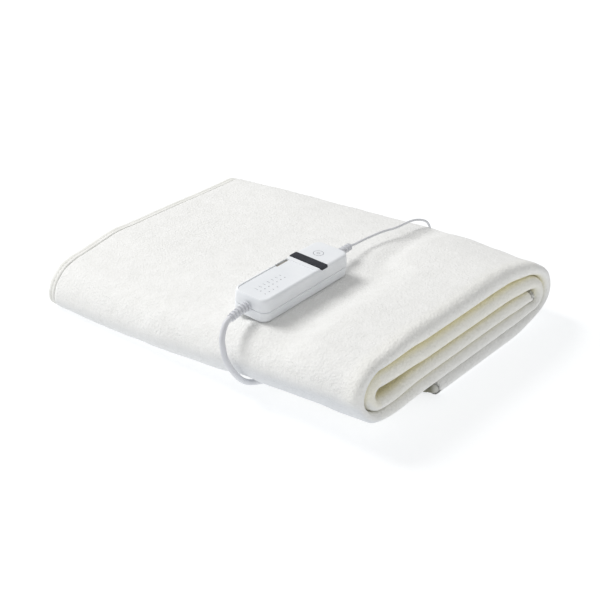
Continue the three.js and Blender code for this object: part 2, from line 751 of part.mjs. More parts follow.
const white = { roughness: 0.45, metalness: 0 };
const MATERIALS = {
  fleece: new THREE.MeshStandardMaterial({ color: 0xeeede6, roughness: 0.95, metalness: 0 }),
  tape: new THREE.MeshStandardMaterial({ color: 0xecebe2, roughness: 0.85, metalness: 0 }),
  shell: new THREE.MeshStandardMaterial({ color: 0xe2e4e8, ...white }),
  window: new THREE.MeshStandardMaterial({ color: 0x0b0b10, roughness: 0.12, metalness: 0 }),
  cord: new THREE.MeshStandardMaterial({ color: 0xdadbe0, ...white }),
  tie: new THREE.MeshStandardMaterial({ color: 0xe6e6e2, roughness: 0.6, metalness: 0 }),
  pin: new THREE.MeshStandardMaterial({ color: 0xc9c9c4, roughness: 0.3, metalness: 1 }),
};

function piece(name, geometry, material) {
  const mesh = new THREE.Mesh(geometry, material);
  mesh.name = name;
  return mesh;
}

// The origin is the middle of the bundle's base.
const part = new THREE.Group();
part.position.set(-1.95, -0.98, 0);
part.add(piece("blanket", blanketGeometry(), MATERIALS.fleece));
part.add(piece("edge_tape", tapeGeometry(), MATERIALS.tape));
controllerFrame.add(piece("controller_base", baseGeometry(), MATERIALS.shell));
controllerFrame.add(piece("controller_top", topGeometry(), MATERIALS.shell));
controllerFrame.add(piece("display_window", windowGeometry(), MATERIALS.window));
controllerFrame.add(
  piece("mains_relief", atShellEnd(-1, reliefGeometry(MAINS_RELIEF)), MATERIALS.cord),
);
controllerFrame.add(
  piece("lead_relief", atShellEnd(1, reliefGeometry(LEAD_RELIEF)), MATERIALS.cord),
);
const mainsRoute = [...reliefExit(MAINS_RELIEF, -1), ...vectors(MAINS_ROUTE)];
const leadRoute = [...reliefExit(LEAD_RELIEF, 1), ...vectors(LEAD_ROUTE)];
part.add(controllerFrame);

part.add(piece("mains_cord", tubeGeometry(mainsRoute, MAINS), MATERIALS.cord));
part.add(piece("mains_coil", coilGeometry(), MATERIALS.cord));
part.add(piece("coil_tie", tieGeometry(), MATERIALS.tie));
part.add(piece("mains_tail", tubeGeometry(vectors(TAIL_ROUTE), MAINS), MATERIALS.cord));
part.add(piece("lead", tubeGeometry(leadRoute, LEAD), MATERIALS.cord));

const plugFrame = new THREE.Group();
plugFrame.position.set(PLUG.x, PLUG.y, PLUG.z);
plugFrame.rotation.z = degToRad(PLUG.heading - 90);
const plugRelief = reliefGeometry(PLUG_RELIEF).rotateZ(Math.PI).translate(0, -PLUG.gap, 0);
plugFrame.add(piece("plug_relief", plugRelief, MATERIALS.cord));
plugFrame.add(piece("plug_body", plugGeometry(), MATERIALS.shell));
plugFrame.add(piece("plug_pin_1", pinGeometry(-1), MATERIALS.pin));
plugFrame.add(piece("plug_pin_2", pinGeometry(1), MATERIALS.pin));
part.add(plugFrame);

export default part;
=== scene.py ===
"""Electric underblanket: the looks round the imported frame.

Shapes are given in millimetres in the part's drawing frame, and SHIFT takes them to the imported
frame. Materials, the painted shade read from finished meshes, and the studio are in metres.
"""

import math

import bmesh
import bpy
import numpy as np
from mathutils import Euler, Matrix, Vector, noise


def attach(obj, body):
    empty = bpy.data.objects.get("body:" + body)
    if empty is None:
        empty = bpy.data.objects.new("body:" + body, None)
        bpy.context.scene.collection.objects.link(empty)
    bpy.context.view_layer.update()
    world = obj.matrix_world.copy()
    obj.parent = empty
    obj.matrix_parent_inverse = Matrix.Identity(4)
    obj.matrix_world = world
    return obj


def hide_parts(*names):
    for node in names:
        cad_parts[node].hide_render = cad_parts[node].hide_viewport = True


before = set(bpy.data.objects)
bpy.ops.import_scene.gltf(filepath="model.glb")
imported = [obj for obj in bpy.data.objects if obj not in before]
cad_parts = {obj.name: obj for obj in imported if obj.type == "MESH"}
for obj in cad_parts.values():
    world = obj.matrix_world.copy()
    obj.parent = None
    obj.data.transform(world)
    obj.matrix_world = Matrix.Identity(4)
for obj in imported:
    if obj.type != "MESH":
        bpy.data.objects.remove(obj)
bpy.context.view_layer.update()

SHIFT = np.array([-1.95, -0.98, 0.0])


def metres(point):
    """A point of the drawing frame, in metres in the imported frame."""
    return Vector(((np.asarray(point, float) + SHIFT) / 1000).tolist())


def linked(name, data):
    """A new object in the scene."""
    made = bpy.data.objects.new(name, data)
    bpy.context.collection.objects.link(made)
    return made


# ---- camera

CAMERA = {
    "place": (674.0, -808.6, 561.5),
    "azimuth": 39.5,
    "elevation": 27.5,
    "focal": 69.36,
    "sensor": 36,
    "nearest": 0.05,
}


def add_camera():
    data = bpy.data.cameras.new("camera")
    data.lens = CAMERA["focal"]
    data.sensor_width = CAMERA["sensor"]
    data.clip_start = CAMERA["nearest"]
    camera = linked("camera", data)
    camera.location = metres(CAMERA["place"])
    tilt, turn = math.radians(90 - CAMERA["elevation"]), math.radians(CAMERA["azimuth"])
    camera.rotation_euler = Euler((tilt, 0, turn))
    bpy.context.scene.camera = camera


add_camera()


# ---- materials

NOISE_RANGE = (0.3, 0.7)


class Nodes:
    """A material's node tree, with short ways to add and join nodes."""

    def __init__(self, name, base, roughness, **sockets):
        self.material = bpy.data.materials.new(name)
        self.material.use_nodes = True
        self.tree = self.material.node_tree
        self.shader = self.tree.nodes["Principled BSDF"]
        self.shader.inputs["Base Color"].default_value = (*base, 1)
        self.shader.inputs["Roughness"].default_value = roughness
        for socket, value in sockets.items():
            self.shader.inputs[socket.replace("_", " ")].default_value = value

    def add(self, kind, **sockets):
        node = self.tree.nodes.new(kind)
        for socket, value in sockets.items():
            self.feed(node.inputs[socket.replace("_", " ")], value)
        return node

    def feed(self, socket, value):
        if isinstance(value, bpy.types.NodeSocket):
            self.tree.links.new(value, socket)
        else:
            socket.default_value = value

    def places(self):
        return self.add("ShaderNodeTexCoord").outputs["Object"]

    def noise(self, scale, detail, roughness):
        node = self.add("ShaderNodeTexNoise", Scale=scale, Detail=detail, Roughness=roughness)
        self.feed(node.inputs["Vector"], self.places())
        return node.outputs["Fac"]

    def ramp(self, value, low, high, a, b):
        """Maps value from low..high to a..b, held at both ends."""
        node = self.add("ShaderNodeMapRange", Value=value)
        numbers = {"From Min": low, "From Max": high, "To Min": a, "To Max": b}
        for socket, number in numbers.items():
            node.inputs[socket].default_value = number
        return node.outputs["Result"]

    def spread(self, value, a, b):
        """Maps a noise's usual range to numbers or colours a..b."""
        if isinstance(a, tuple):
            return self.mix(self.ramp(value, *NOISE_RANGE, 0, 1), a, b)
        return self.ramp(value, *NOISE_RANGE, a, b)

    def mix(self, factor, a, b):
        node = self.tree.nodes.new("ShaderNodeMix")
        node.data_type = "RGBA"
        self.feed(node.inputs["Factor"], factor)
        self.feed(node.inputs["A"], a if isinstance(a, bpy.types.NodeSocket) else (*a, 1))
        self.feed(node.inputs["B"], b if isinstance(b, bpy.types.NodeSocket) else (*b, 1))
        return node.outputs["Result"]

    def math(self, operation, a, b):
        node = self.tree.nodes.new("ShaderNodeMath")
        node.operation = operation
        self.feed(node.inputs[0], a)
        self.feed(node.inputs[1], b)
        return node.outputs["Value"]

    def attribute(self, name):
        node = self.tree.nodes.new("ShaderNodeAttribute")
        node.attribute_name = name
        return node.outputs["Fac"]

    def colour(self, socket):
        self.tree.links.new(socket, self.shader.inputs["Base Color"])

    def roughness(self, socket):
        self.tree.links.new(socket, self.shader.inputs["Roughness"])

    def bumps(self, *heights):
        """Stacks bumps, each a height socket with its distance in metres."""
        normal = None
        for height, distance in heights:
            node = self.add("ShaderNodeBump", Height=height, Strength=1.0, Distance=distance)
            if normal:
                self.tree.links.new(normal, node.inputs["Normal"])
            normal = node.outputs["Normal"]
        self.tree.links.new(normal, self.shader.inputs["Normal"])


def fleece_material():
    nodes = Nodes("fleece", (0.86, 0.86, 0.84), 1.0, Sheen_Weight=0.25, Sheen_Roughness=0.6)
    blotches = nodes.noise(85, 3, 0.5)
    tufts = nodes.noise(420, 1.5, 0.5)
    fibres = nodes.noise(1700, 2, 0.6)
    tone = nodes.spread(blotches, (0.845, 0.845, 0.825), (0.895, 0.895, 0.88))
    fine = nodes.mix(nodes.ramp(tufts, 0.35, 0.65, 0, 0.35), tone, (0.915, 0.915, 0.905))
    # Painted shade: yellowish in the gaps between the layers, then cooler and darker on the near
    # turn's underside.
    gap_shaded = nodes.mix(nodes.attribute("painted_gap_shade"), fine, (0.86, 0.81, 0.56))
    nodes.colour(nodes.mix(nodes.attribute("shade"), gap_shaded, (0.71, 0.73, 0.755)))
    nodes.bumps((blotches, 0.0008), (tufts, 0.0010), (fibres, 0.0003))
    return nodes.material


def tape_material():
    nodes = Nodes("tape", (0.84, 0.84, 0.81), 0.85, Sheen_Weight=0.15, Sheen_Roughness=0.5)
    grain = nodes.noise(900, 3, 0.6)
    cloud = nodes.noise(60, 2, 0.5)
    tone = nodes.spread(cloud, (0.80, 0.80, 0.765), (0.87, 0.87, 0.845))
    # Painted deep shade on the tape where the lowest layer ends.
    nodes.colour(nodes.mix(nodes.attribute("shade"), tone, (0.16, 0.155, 0.11)))
    nodes.bumps((grain, 0.0003))
    return nodes.material


def plastic_material(name, dark, light, roughness):
    nodes = Nodes(name, light, roughness)
    cloud = nodes.noise(45, 2, 0.5)
    grain = nodes.noise(1400, 2, 0.5)
    nodes.colour(nodes.spread(cloud, dark, light))
    nodes.roughness(nodes.spread(grain, roughness - 0.05, roughness + 0.06))
    nodes.bumps((grain, 0.00004))
    return nodes.material


def window_material():
    nodes = Nodes("window", (0.012, 0.013, 0.018), 0.22, Specular_IOR_Level=0.28)
    smudge = nodes.noise(140, 3, 0.6)
    nodes.colour(nodes.spread(smudge, (0.013, 0.015, 0.022), (0.027, 0.029, 0.038)))
    nodes.roughness(nodes.spread(smudge, 0.18, 0.28))
    return nodes.material


def metal_material():
    nodes = Nodes("nickel", (0.78, 0.77, 0.74), 0.28, Metallic=1.0)
    streaks = nodes.noise(600, 3, 0.6)
    nodes.colour(nodes.spread(streaks, (0.70, 0.69, 0.66), (0.80, 0.79, 0.76)))
    nodes.roughness(nodes.spread(streaks, 0.22, 0.36))
    return nodes.material


FLEECE = fleece_material()
TAPE_CLOTH = tape_material()
SHELL = plastic_material("shell", (0.835, 0.86, 0.89), (0.88, 0.90, 0.925), 0.42)
CORD = plastic_material("cord", (0.66, 0.67, 0.705), (0.73, 0.74, 0.77), 0.42)
# The slot pad's grey-brown: partly the pad's own tone, partly painted shade of the slot it sits in.
SLOT_GREY_AND_SHADE = plastic_material("slot_grey_and_shade", (0.40, 0.375, 0.33), (0.46, 0.435, 0.385), 0.6)
TIE_PLASTIC = plastic_material("tie", (0.76, 0.76, 0.73), (0.82, 0.82, 0.80), 0.6)
THREAD = plastic_material("thread", (0.74, 0.73, 0.66), (0.80, 0.79, 0.73), 0.7)
MARK = plastic_material("mark", (0.20, 0.21, 0.23), (0.26, 0.27, 0.29), 0.5)
WINDOW_GLASS = window_material()
NICKEL = metal_material()


# ---- pieces


def bare_mesh(name, points, faces):
    """A mesh from points in the drawing frame."""
    mesh = bpy.data.meshes.new(name)
    mesh.from_pydata((np.asarray(points, float) + SHIFT) / 1000, [], faces)
    return mesh


def mesh_piece(name, points, faces, material, slot, sharp=None):
    """A smooth piece that rides on the part, with edges sharper than the given degrees kept."""
    mesh = bare_mesh(name, points, faces)
    made = bmesh.new()
    made.from_mesh(mesh)
    bmesh.ops.recalc_face_normals(made, faces=made.faces)
    made.to_mesh(mesh)
    made.free()
    mesh.materials.append(material)
    mesh.shade_smooth()
    if sharp:
        mesh.set_sharp_from_angle(angle=math.radians(sharp))
    piece = linked(name, mesh)
    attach(piece, "root")
    return piece


def loft(rings, looped=False):
    """Points and faces of a skin over equal rings, closed at both ends or looped round."""
    size = len(rings[0])
    points = [p for ring in rings for p in ring]
    faces = []
    for i in range(len(rings) - (0 if looped else 1)):
        a, b = i * size, ((i + 1) % len(rings)) * size
        for j in range(size):
            k = (j + 1) % size
            faces.append((a + j, a + k, b + k, b + j))
    if not looped:
        faces.append(tuple(reversed(range(size))))
        faces.append(tuple(range(len(points) - size, len(points))))
    return points, faces


def joined(parts):
    """Points and faces of several skins as one."""
    points, faces = [], []
    for more_points, more_faces in parts:
        start = len(points)
        points += [tuple(p) for p in more_points]
        faces += [tuple(start + i for i in face) for face in more_faces]
    return points, faces


def catmull(route, step):
    """Points about a step apart on a centripetal Catmull-Rom curve through the route."""
    p = np.asarray(route, float)
    p = np.vstack([2 * p[0] - p[1], p, 2 * p[-1] - p[-2]])
    out = [p[1]]
    for i in range(1, len(p) - 2):
        a, b, c, d = p[i - 1 : i + 3]
        spans = [np.linalg.norm(v - u) for u, v in ((a, b), (b, c), (c, d))]
        t = np.cumsum([0] + [max(span, 1e-6) ** 0.5 for span in spans])
        for s in np.linspace(t[1], t[2], max(2, round(spans[1] / step)) + 1)[1:]:
            ab = (a * (t[1] - s) + b * (s - t[0])) / (t[1] - t[0])
            bc = (b * (t[2] - s) + c * (s - t[1])) / (t[2] - t[1])
            cd = (c * (t[3] - s) + d * (s - t[2])) / (t[3] - t[2])
            abc = (ab * (t[2] - s) + bc * (s - t[0])) / (t[2] - t[0])
            bcd = (bc * (t[3] - s) + cd * (s - t[1])) / (t[3] - t[1])
            out.append((abc * (t[2] - s) + bcd * (s - t[1])) / (t[2] - t[1]))
    return np.array(out)


CORD_FACETS = 5


def cord_piece(name, route, diameter):
    """A round cord as one open spline with a bevel."""
    data = bpy.data.curves.new(name, "CURVE")
    data.dimensions = "3D"
    data.bevel_depth = diameter / 2000
    data.bevel_resolution = CORD_FACETS
    data.use_fill_caps = True
    spline = data.splines.new("POLY")
    spline.points.add(len(route) - 1)
    for target, point in zip(spline.points, route):
        target.co = (*metres(point), 1)
    data.materials.append(CORD)
    piece = linked(name, data)
    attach(piece, "root")
    return piece


# ---- cords

MAINS, MAINS_STEP = 5.5, 3
LEAD, LEAD_STEP = 2.4, 2

MAINS_ROUTE = [
    (61.20, -161.10, 80.22), (61.18, -165.64, 78.99), (61.8, -170, 74.8), (63.1, -173.5, 70.2),
    (64.2, -175.7, 64.9), (65.6, -176.3, 59.2), (66.6, -176, 52.5), (68.6, -174.8, 45),
    (71.6, -171.8, 36.4), (73.2, -166.8, 28.2), (73, -160, 21), (71.8, -152, 15), (71, -143, 10.5),
    (71.4, -133, 7), (73.2, -122, 4.6), (76, -110, 3.2), (78.8, -97, 2.8), (80, -84, 2.8),
    (80, -20, 2.8), (80, 60, 2.8), (80, 130, 2.8), (80, 176, 2.8), (80, 192, 3.6),
]
COIL = {
    "x": 44.5,
    "y": 206,
    "low": 4.2,
    "high": 9.8,
    "radii": (35.5, 30, 24.5),
    "turns": 5 + 1 / 3,
    "steps": 40,
    "crossing": 0.2,
}
TAIL_ROUTE = [(9, 226.4, 9.7), (2, 222.4, 9.1), (-5, 218.3, 8), (-12.1, 214.25, 6.95)]

LEAD_ROUTE = [
    (57.52, 14.73, 85.37), (56.86, 19.37, 85.02), (56.9, 24.2, 84.5), (56.3, 32.7, 83.8),
    (56.4, 42.9, 83.6), (57.9, 53.2, 84), (59.6, 63.1, 84.4), (61.6, 72.5, 84.3),
    (63.2, 80.9, 83.7), (63.1, 91.4, 82.5), (60.9, 105.5, 80.2), (58.4, 119.8, 77.6),
    (57.1, 131.6, 74.6), (56.5, 141.4, 71.2), (56, 148.9, 67.8), (55.3, 155.4, 63.9),
    (54.2, 161.3, 58.6), (52.9, 166.6, 51.6), (51.7, 169.9, 42.5), (50.6, 171, 32),
    (50.5, 170.4, 22), (50, 168, 13), (47.5, 163, 5.5), (40, 158.5, 1.9), (20, 157.5, 1.3),
    (-20, 155, 1.3), (-60, 152, 1.3), (-100, 149, 1.3), (-150, 143.5, 1.3), (-188, 139, 1.4),
    (-202, 136.5, 2), (-210.5, 131, 6), (-213, 124.5, 14), (-212.3, 119.5, 23), (-207, 117.9, 28.8),
    (-198, 117.8, 30.2), (-186, 117.8, 30.3),
]


def coil_route():
    """Three turns inwards on the floor, then outwards on top of them, moving over in the last part
    of each turn."""
    levels = [(r, COIL["low"]) for r in COIL["radii"]]
    levels += [(r, COIL["high"]) for r in reversed(COIL["radii"])]
    steps = round(COIL["turns"] * COIL["steps"])
    points = []
    for i in range(steps + 1):
        turn = min(COIL["turns"] * i / steps, COIL["turns"])
        whole = min(int(turn + 1e-9), len(levels) - 1)
        (r0, z0), (r1, z1) = levels[whole], levels[min(whole + 1, len(levels) - 1)]
        start = 1 - COIL["crossing"]
        part = min(max((turn - whole - start) / COIL["crossing"], 0), 1)
        ease = part * part * (3 - 2 * part)
        radius, z = r0 + (r1 - r0) * ease, z0 + (z1 - z0) * ease
        angle = math.tau * turn
        x, y = COIL["x"] + radius * math.cos(angle), COIL["y"] + radius * math.sin(angle)
        points.append((x, y, z))
    return points


coil = coil_route()
to_coil, tail = catmull(MAINS_ROUTE + coil[:1], MAINS_STEP), catmull(TAIL_ROUTE, MAINS_STEP)
mains = cord_piece("mains_lead", np.vstack([to_coil[:-1], coil, tail]), MAINS)
lead = cord_piece("blanket_lead", catmull(LEAD_ROUTE, LEAD_STEP), LEAD)
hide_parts("mains_cord", "mains_coil", "mains_tail")
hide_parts("lead")


# ---- the cloth's folds, as in the part

PLY = 5.5
PRESSED_PLY = 1.8
HALF_WIDTH = 405.8
FOLD_END = 206.0
OUTER_END = -50.0
LAYER_GAP = 0.9
SHOULDER_START = 8.2
SHOULDER_END = 12.0
LAYERS = [
    {"near": 2.5, "middle": 2.5, "far": 2.0},
    {"near": 0.6, "middle": 3.5, "far": 2.0},
    {"near": 2.0, "middle": 4.0, "far": 3.0},
    {"near": 8.0, "middle": 8.5, "far": 5.0},
    {"near": 2.5, "middle": 7.0, "far": 3.5},
]
LEAST_AIR = 0.4
PINCH_AIR, PINCH_LENGTH = -0.1, 16
PUFF_LENGTH = 60
AIR_TAPER, TAPER_MARGIN = 1.4, 10
STATION_START, STATION_PITCH = -200, 100
SECTIONS = {
    "near": (-153, -158, -163, -167, -166.8),
    "far": (147, 158, 166, 169, 162.3),
    "sag": (11.9, 11.6, 7.5, 2.5, 1.5),
    "slump": (9, 5, 2, 0, 0),
    "lean": (15, 8, 2, 0, 0),
    "lift": (0, 1, 4.4, 13, 17.5),
    "farSlump": (-1, 1, 4, 5, 10.2),
}
SAG_START, SAG_LENGTH = -55, 75
NEAR_REACH = {"slump": (8, 36), "lift": (35, 64), "lean": (30, 30)}
FAR_REACH = (50, 15)
TOP_FADE, FOOT_FADE, FAR_FOOT_FADE = 5, 2, 3
TURNS = {
    "near": {"side": -1, "inner": (2, 3), "outer": (1, 4), "reach": (6.1, 11.5)},
    "far": {"side": 1, "inner": (1, 3), "outer": (0, 4), "reach": (12, 12)},
}
HOLLOW_HEIGHT, HOLLOW_LENGTH = 8, 75
TIP_OPEN, TIP_FOLDED = -3, 2.5
CORNER_CUT = {0: 4, 8: 13}
CORNER_RUN = (150, 190)
PATH = [
    {"layer": 2, "heads": "near"},
    {"turn": "near", "ring": "inner", "layers": (2, 3)},
    {"layer": 3, "heads": "far"},
    {"turn": "far", "ring": "inner", "layers": (3, 1)},
    {"layer": 1, "heads": "near"},
    {"turn": "near", "ring": "outer", "layers": (1, 4)},
    {"layer": 4, "heads": "far"},
    {"turn": "far", "ring": "outer", "layers": (4, 0)},
    {"layer": 0, "heads": "near"},
]
LAST = len(PATH) - 1
TOP_LAYER = len(LAYERS) - 1
CREASES = [
    ((92, 20), (74, 140), -4.2, 11),
    ((-150, 110), (150, 60), 1.4, 40),
    ((-190, -40), (20, -70), -1.2, 35),
    ((130, -110), (190, 40), 1.5, 25),
]
TENT = {"x": 72, "height": 4, "width": 14}
FAR_LIFT = {"height": 10.5, "from": 100, "start": 72, "end": 10}
CHANNEL = {"x": 80, "floor": 8, "width": 24, "lift": 7.2, "fade": 45}
CONTROLLER = {"width": 40, "length": 127, "height": 24, "seam": 10.5, "corner": 7, "bow": 2}
CONTROLLER_PLACE = {"x": 59.5, "y": -75, "z": 72, "yaw": 0.7, "pitch": 1.2, "roll": 3.7}
SEAT = {"gap": 0.35, "margin": 20, "fade": 36}


def lerp(a, b, t):
    return a + (b - a) * t


def smoothstep(x, low, high):
    t = np.clip((x - low) / (high - low), 0, 1)
    return t * t * (3 - 2 * t)


def outline(column, x):
    """A column of SECTIONS at x, on a smooth curve through its stations."""
    values = np.array(SECTIONS[column], float)
    last = len(values) - 1
    station = np.clip((x - STATION_START) / STATION_PITCH, 0, last - 1e-9)
    i = np.floor(station).astype(int)
    t = station - i
    a, b, c, d = (values[np.clip(i + k, 0, last)] for k in (-1, 0, 1, 2))
    return b + 0.5 * t * (c - a + t * (2 * a - 5 * b + 4 * c - d + t * (3 * (b - c) + d - a)))


def taper(x):
    """0 at the open side, 1 near the fold: how much of the full air the layers hold."""
    return np.clip((x + FOLD_END) / (2 * FOLD_END - TAPER_MARGIN), 0, 1) ** AIR_TAPER


def turn_thick(name, layers, x, share=0.5):
    full = lerp(LAYERS[layers[0]][name], LAYERS[layers[1]][name], share)
    return 2 * PLY + lerp(LEAST_AIR, full, taper(x))


def turn_reach(name, x):
    return lerp(*TURNS[name]["reach"], taper(x))


def turn_middle(name, x):
    """Y of a turn's middle, where its layers start to bend."""
    turn = TURNS[name]
    thick = turn_thick(name, turn["outer"], x) + LAYER_GAP + turn_thick(name, turn["inner"], x) / 2
    return outline(name, x) - turn["side"] * (thick + turn_reach(name, x))


def air(layer, x, y):
    """Air between the two plies of a layer."""
    row = LAYERS[layer]
    start, end = turn_middle("near", x), turn_middle("far", x)
    near = 1 - smoothstep(y, start, start + PUFF_LENGTH)
    far = smoothstep(y, end - PUFF_LENGTH, end)
    full = near * row["near"] + far * row["far"] + (1 - near - far) * row["middle"]
    return lerp(LEAST_AIR, full, taper(x))


def thickness(layer, x, y):
    return 2 * PLY + air(layer, x, y)


def middle_height(layer, x, y):
    start = turn_middle("near", x)
    z = sum(thickness(k, x, y) + LAYER_GAP for k in range(layer)) if layer else 0
    if layer > 2:
        z = z + HOLLOW_HEIGHT * taper(x) * (1 - smoothstep(y, start, start + HOLLOW_LENGTH))
    return z + thickness(layer, x, y) / 2


def on_turn(name, ring, x, angle):
    """Y, Z and normal on a turn: the inner ring is half an ellipse, the outer one lies round it."""
    turn = TURNS[name]
    side, reach, y = turn["side"], turn_reach(name, x), turn_middle(name, x)
    low, high = (middle_height(layer, x, y) for layer in turn["inner"])
    half = (high - low) / 2
    cos, sin = math.cos(angle), math.sin(angle)
    py, pz = y + side * reach * cos, (high + low) / 2 + half * sin
    ny, nz = side * cos / reach, sin / half
    size = np.hypot(ny, nz)
    ny, nz = ny / size, nz / size
    if ring == "outer":
        thick = turn_thick(name, turn["outer"], x) + turn_thick(name, turn["inner"], x)
        aside = thick / 2 + LAYER_GAP
        above = middle_height(turn["outer"][1], x, y) - high
        below = low - middle_height(turn["outer"][0], x, y)
        away = lerp(aside, above if sin > 0 else below, sin**2)
        py, pz = py + ny * away, pz + nz * away
    return py, pz, ny, nz


def tip_end(x):
    return turn_middle("far", x) + lerp(TIP_OPEN, TIP_FOLDED, taper(x))


def middle_line(x, row, share, beyond=0.0):
    """Middle of the doubled cloth at x: its Y, Z, normal and the air between the plies."""
    item = PATH[row]
    if "turn" in item:
        rising = item["layers"][1] > item["layers"][0]
        angle = lerp(-1, 1, share if rising else 1 - share) * math.pi / 2
        py, pz, ny, nz = on_turn(item["turn"], item["ring"], x, angle)
        layers = TURNS[item["turn"]][item["ring"]]
        thick = turn_thick(item["turn"], layers, x, (math.sin(angle) + 1) / 2)
        return py, pz, ny, nz, thick - 2 * PLY
    forward = item["heads"] == "far"
    start = tip_end(x) if row == 0 else turn_middle("near" if forward else "far", x)
    end = OUTER_END if row == LAST else turn_middle(item["heads"], x)
    y = lerp(start, end, share) + beyond * (1 if forward else -1)
    z = middle_height(item["layer"], x, y)
    gap = air(item["layer"], x, y)
    if row in (0, LAST):
        from_end = start - y if row == 0 else y - end
        gap = lerp(PINCH_AIR, gap, smoothstep(from_end, 0, PINCH_LENGTH))
    return y, z, 0.0, 1.0 if forward else -1.0, gap


def creases(x, y):
    """Height of the soft ridges and hollows of the top, each along a line."""
    height = 0
    for start, end, peak, width in CREASES:
        dx, dy = end[0] - start[0], end[1] - start[1]
        along = np.clip(((x - start[0]) * dx + (y - start[1]) * dy) / (dx * dx + dy * dy), 0, 1)
        away = np.hypot(x - start[0] - along * dx, y - start[1] - along * dy)
        height = height + peak * np.exp(-((away / width) ** 2))
    return height


CONTROLLER_TURN = np.array(
    Matrix.Rotation(math.radians(CONTROLLER_PLACE["yaw"]), 3, "Z")
    @ Matrix.Rotation(math.radians(CONTROLLER_PLACE["pitch"]), 3, "X")
    @ Matrix.Rotation(math.radians(CONTROLLER_PLACE["roll"]), 3, "Y")
)
CONTROLLER_AT = np.array([CONTROLLER_PLACE[axis] for axis in "xyz"])


def in_controller(points):
    """Points of the controller's own frame, in the drawing frame."""
    return np.asarray(points, float) @ CONTROLLER_TURN.T + CONTROLLER_AT


def press(x, y, top):
    """How far the controller pushes the top down, fading out round it."""
    low = CONTROLLER_PLACE["z"]
    flat = np.stack([x, y, np.full_like(x, low)], -1)
    local = (flat - CONTROLLER_AT) @ CONTROLLER_TURN
    out_x = np.maximum(0, np.abs(local[..., 0]) - CONTROLLER["width"] / 2 - SEAT["margin"])
    out_y = np.maximum(0, np.abs(local[..., 1]) - CONTROLLER["length"] / 2 - SEAT["margin"])
    weight = 1 - smoothstep(np.hypot(out_x, out_y), 0, SEAT["fade"])
    seat = low - local[..., 2] - SEAT["gap"]
    return np.minimum(0, seat - top) * weight


def toward_near(name, inner, y):
    """0 to 1 from the given distance inside the near turn outwards."""
    start, length = NEAR_REACH[name]
    return np.clip((inner + start - y) / length, 0, 1)


def settle(x, y, z, row):
    """Y and Z after the stack has sagged, slumped, lifted and been pressed by what lies on it."""
    top = middle_height(TOP_LAYER, x, y) + thickness(TOP_LAYER, x, y) / 2
    high = np.clip(z / top, 0, 1)
    low = 1 - high
    inner, far = turn_middle("near", x), outline("far", x)
    stacked = row < LAST
    sag = outline("sag", x) * (1 - smoothstep(y, SAG_START - SAG_LENGTH, SAG_START))
    sunk = sag if stacked else 0
    slump = outline("slump", x) * toward_near("slump", inner, y)
    tent = TENT["height"] * np.exp(-(((x - TENT["x"]) / TENT["width"]) ** 2))
    lift = (outline("lift", x) + tent) * toward_near("lift", inner, y) ** 2
    far_slump = outline("farSlump", x) * smoothstep(y, far - FAR_REACH[0], far - FAR_REACH[1])
    resting = top - sunk - slump - far_slump + creases(x, y)
    shaped = (creases(x, y) + press(x, y, resting)) * high**TOP_FADE
    aside = np.maximum(0, np.abs(x - CHANNEL["x"]) - CHANNEL["floor"])
    supported = smoothstep(y, SAG_START - CHANNEL["fade"], SAG_START) if stacked else 1
    channel = CHANNEL["lift"] * (1 - smoothstep(aside, 0, CHANNEL["width"]))
    channel = channel * supported * low**FOOT_FADE
    lean = outline("lean", x) * toward_near("lean", inner, y)
    far_foot = smoothstep(y, far - FAR_LIFT["start"], far - FAR_LIFT["end"])
    far_edge = smoothstep(x, FAR_LIFT["from"], FOLD_END) * far_foot
    far_lift = FAR_LIFT["height"] * far_edge * low**FAR_FOOT_FADE
    settled = z + shaped + channel - sunk - (slump + far_slump) * high + lift * low + far_lift
    return y - lean * low**FOOT_FADE, settled


def at_cloth_end(row, share):
    return (row == 0 and share == 0) or (row == LAST and share == 1)


def folded(row, share, beyond, across, off):
    """Points of the folded cloth from flat ones, in millimetres: across from the fold, the outer
    ply positive, and off from the middle of the ply. beyond, across and off may be arrays."""
    flat = (np.asarray(values, float) for values in (across, off, beyond))
    across, off, beyond = np.broadcast_arrays(*flat)
    side = np.where(across < 0, -1.0, 1.0)
    fold_air = middle_line(np.full_like(across, FOLD_END), row, share, beyond)[4]
    radius = (PLY + fold_air) / 2
    bend_x = FOLD_END - PLY / 2 - radius
    past = np.abs(across) - radius * math.pi / 2
    leg_x = np.minimum(bend_x - past, bend_x)
    x = leg_x
    if at_cloth_end(row, share):
        left = np.maximum(0, 1 - (beyond if row == 0 else -beyond) / SHOULDER_START)
        x = leg_x - CORNER_CUT[row] * left * smoothstep(leg_x, *CORNER_RUN)
    py, pz, ny, nz, gap = middle_line(x, row, share, beyond)
    bend = np.where(past < 0, across / radius, side * math.pi / 2)
    spread = np.where(past < 0, radius * np.sin(bend), side * (PLY + gap) / 2)
    out = spread + off * np.where(past < 0, np.sin(bend), side)
    qx = x + np.where(past < 0, (radius + off) * np.cos(bend), 0)
    qy, qz = settle(qx, py + ny * out, pz + nz * out, row)
    return np.stack([qx, qy, qz], -1)


# ---- the cloth

RUN_STEPS = {0: 34, 2: 36, 4: 32, 6: 62, 8: 24}
TURN_STEPS = {1: 20, 3: 20, 5: 30, 7: 30}
END_STEPS = (0, 4.3, SHOULDER_START, 9.8, SHOULDER_END)
COLUMN_STEPS = ((270, 6.8), (375, 4.4), (386, 2.6))
BEND = {"half": 11, "columns": 13}
EASE = 0.7


def eased(t):
    return lerp(t, 0.5 - 0.5 * math.cos(math.pi * t), EASE)


def places_along():
    """Row, share and millimetres beyond, from the cloth's inner end to its outer end. END_STEPS
    takes the place of the outermost steps of the first and last run."""
    places = [(0, 0.0, beyond) for beyond in END_STEPS]
    for row in range(len(PATH)):
        steps = RUN_STEPS.get(row) or TURN_STEPS[row]
        for i in range(0 if row else 2, steps - (1 if row == LAST else 0)):
            share = i / steps
            places.append((row, eased(share) if row in RUN_STEPS else share, 0.0))
    places += [(LAST, 1.0, -beyond) for beyond in reversed(END_STEPS)]
    return places


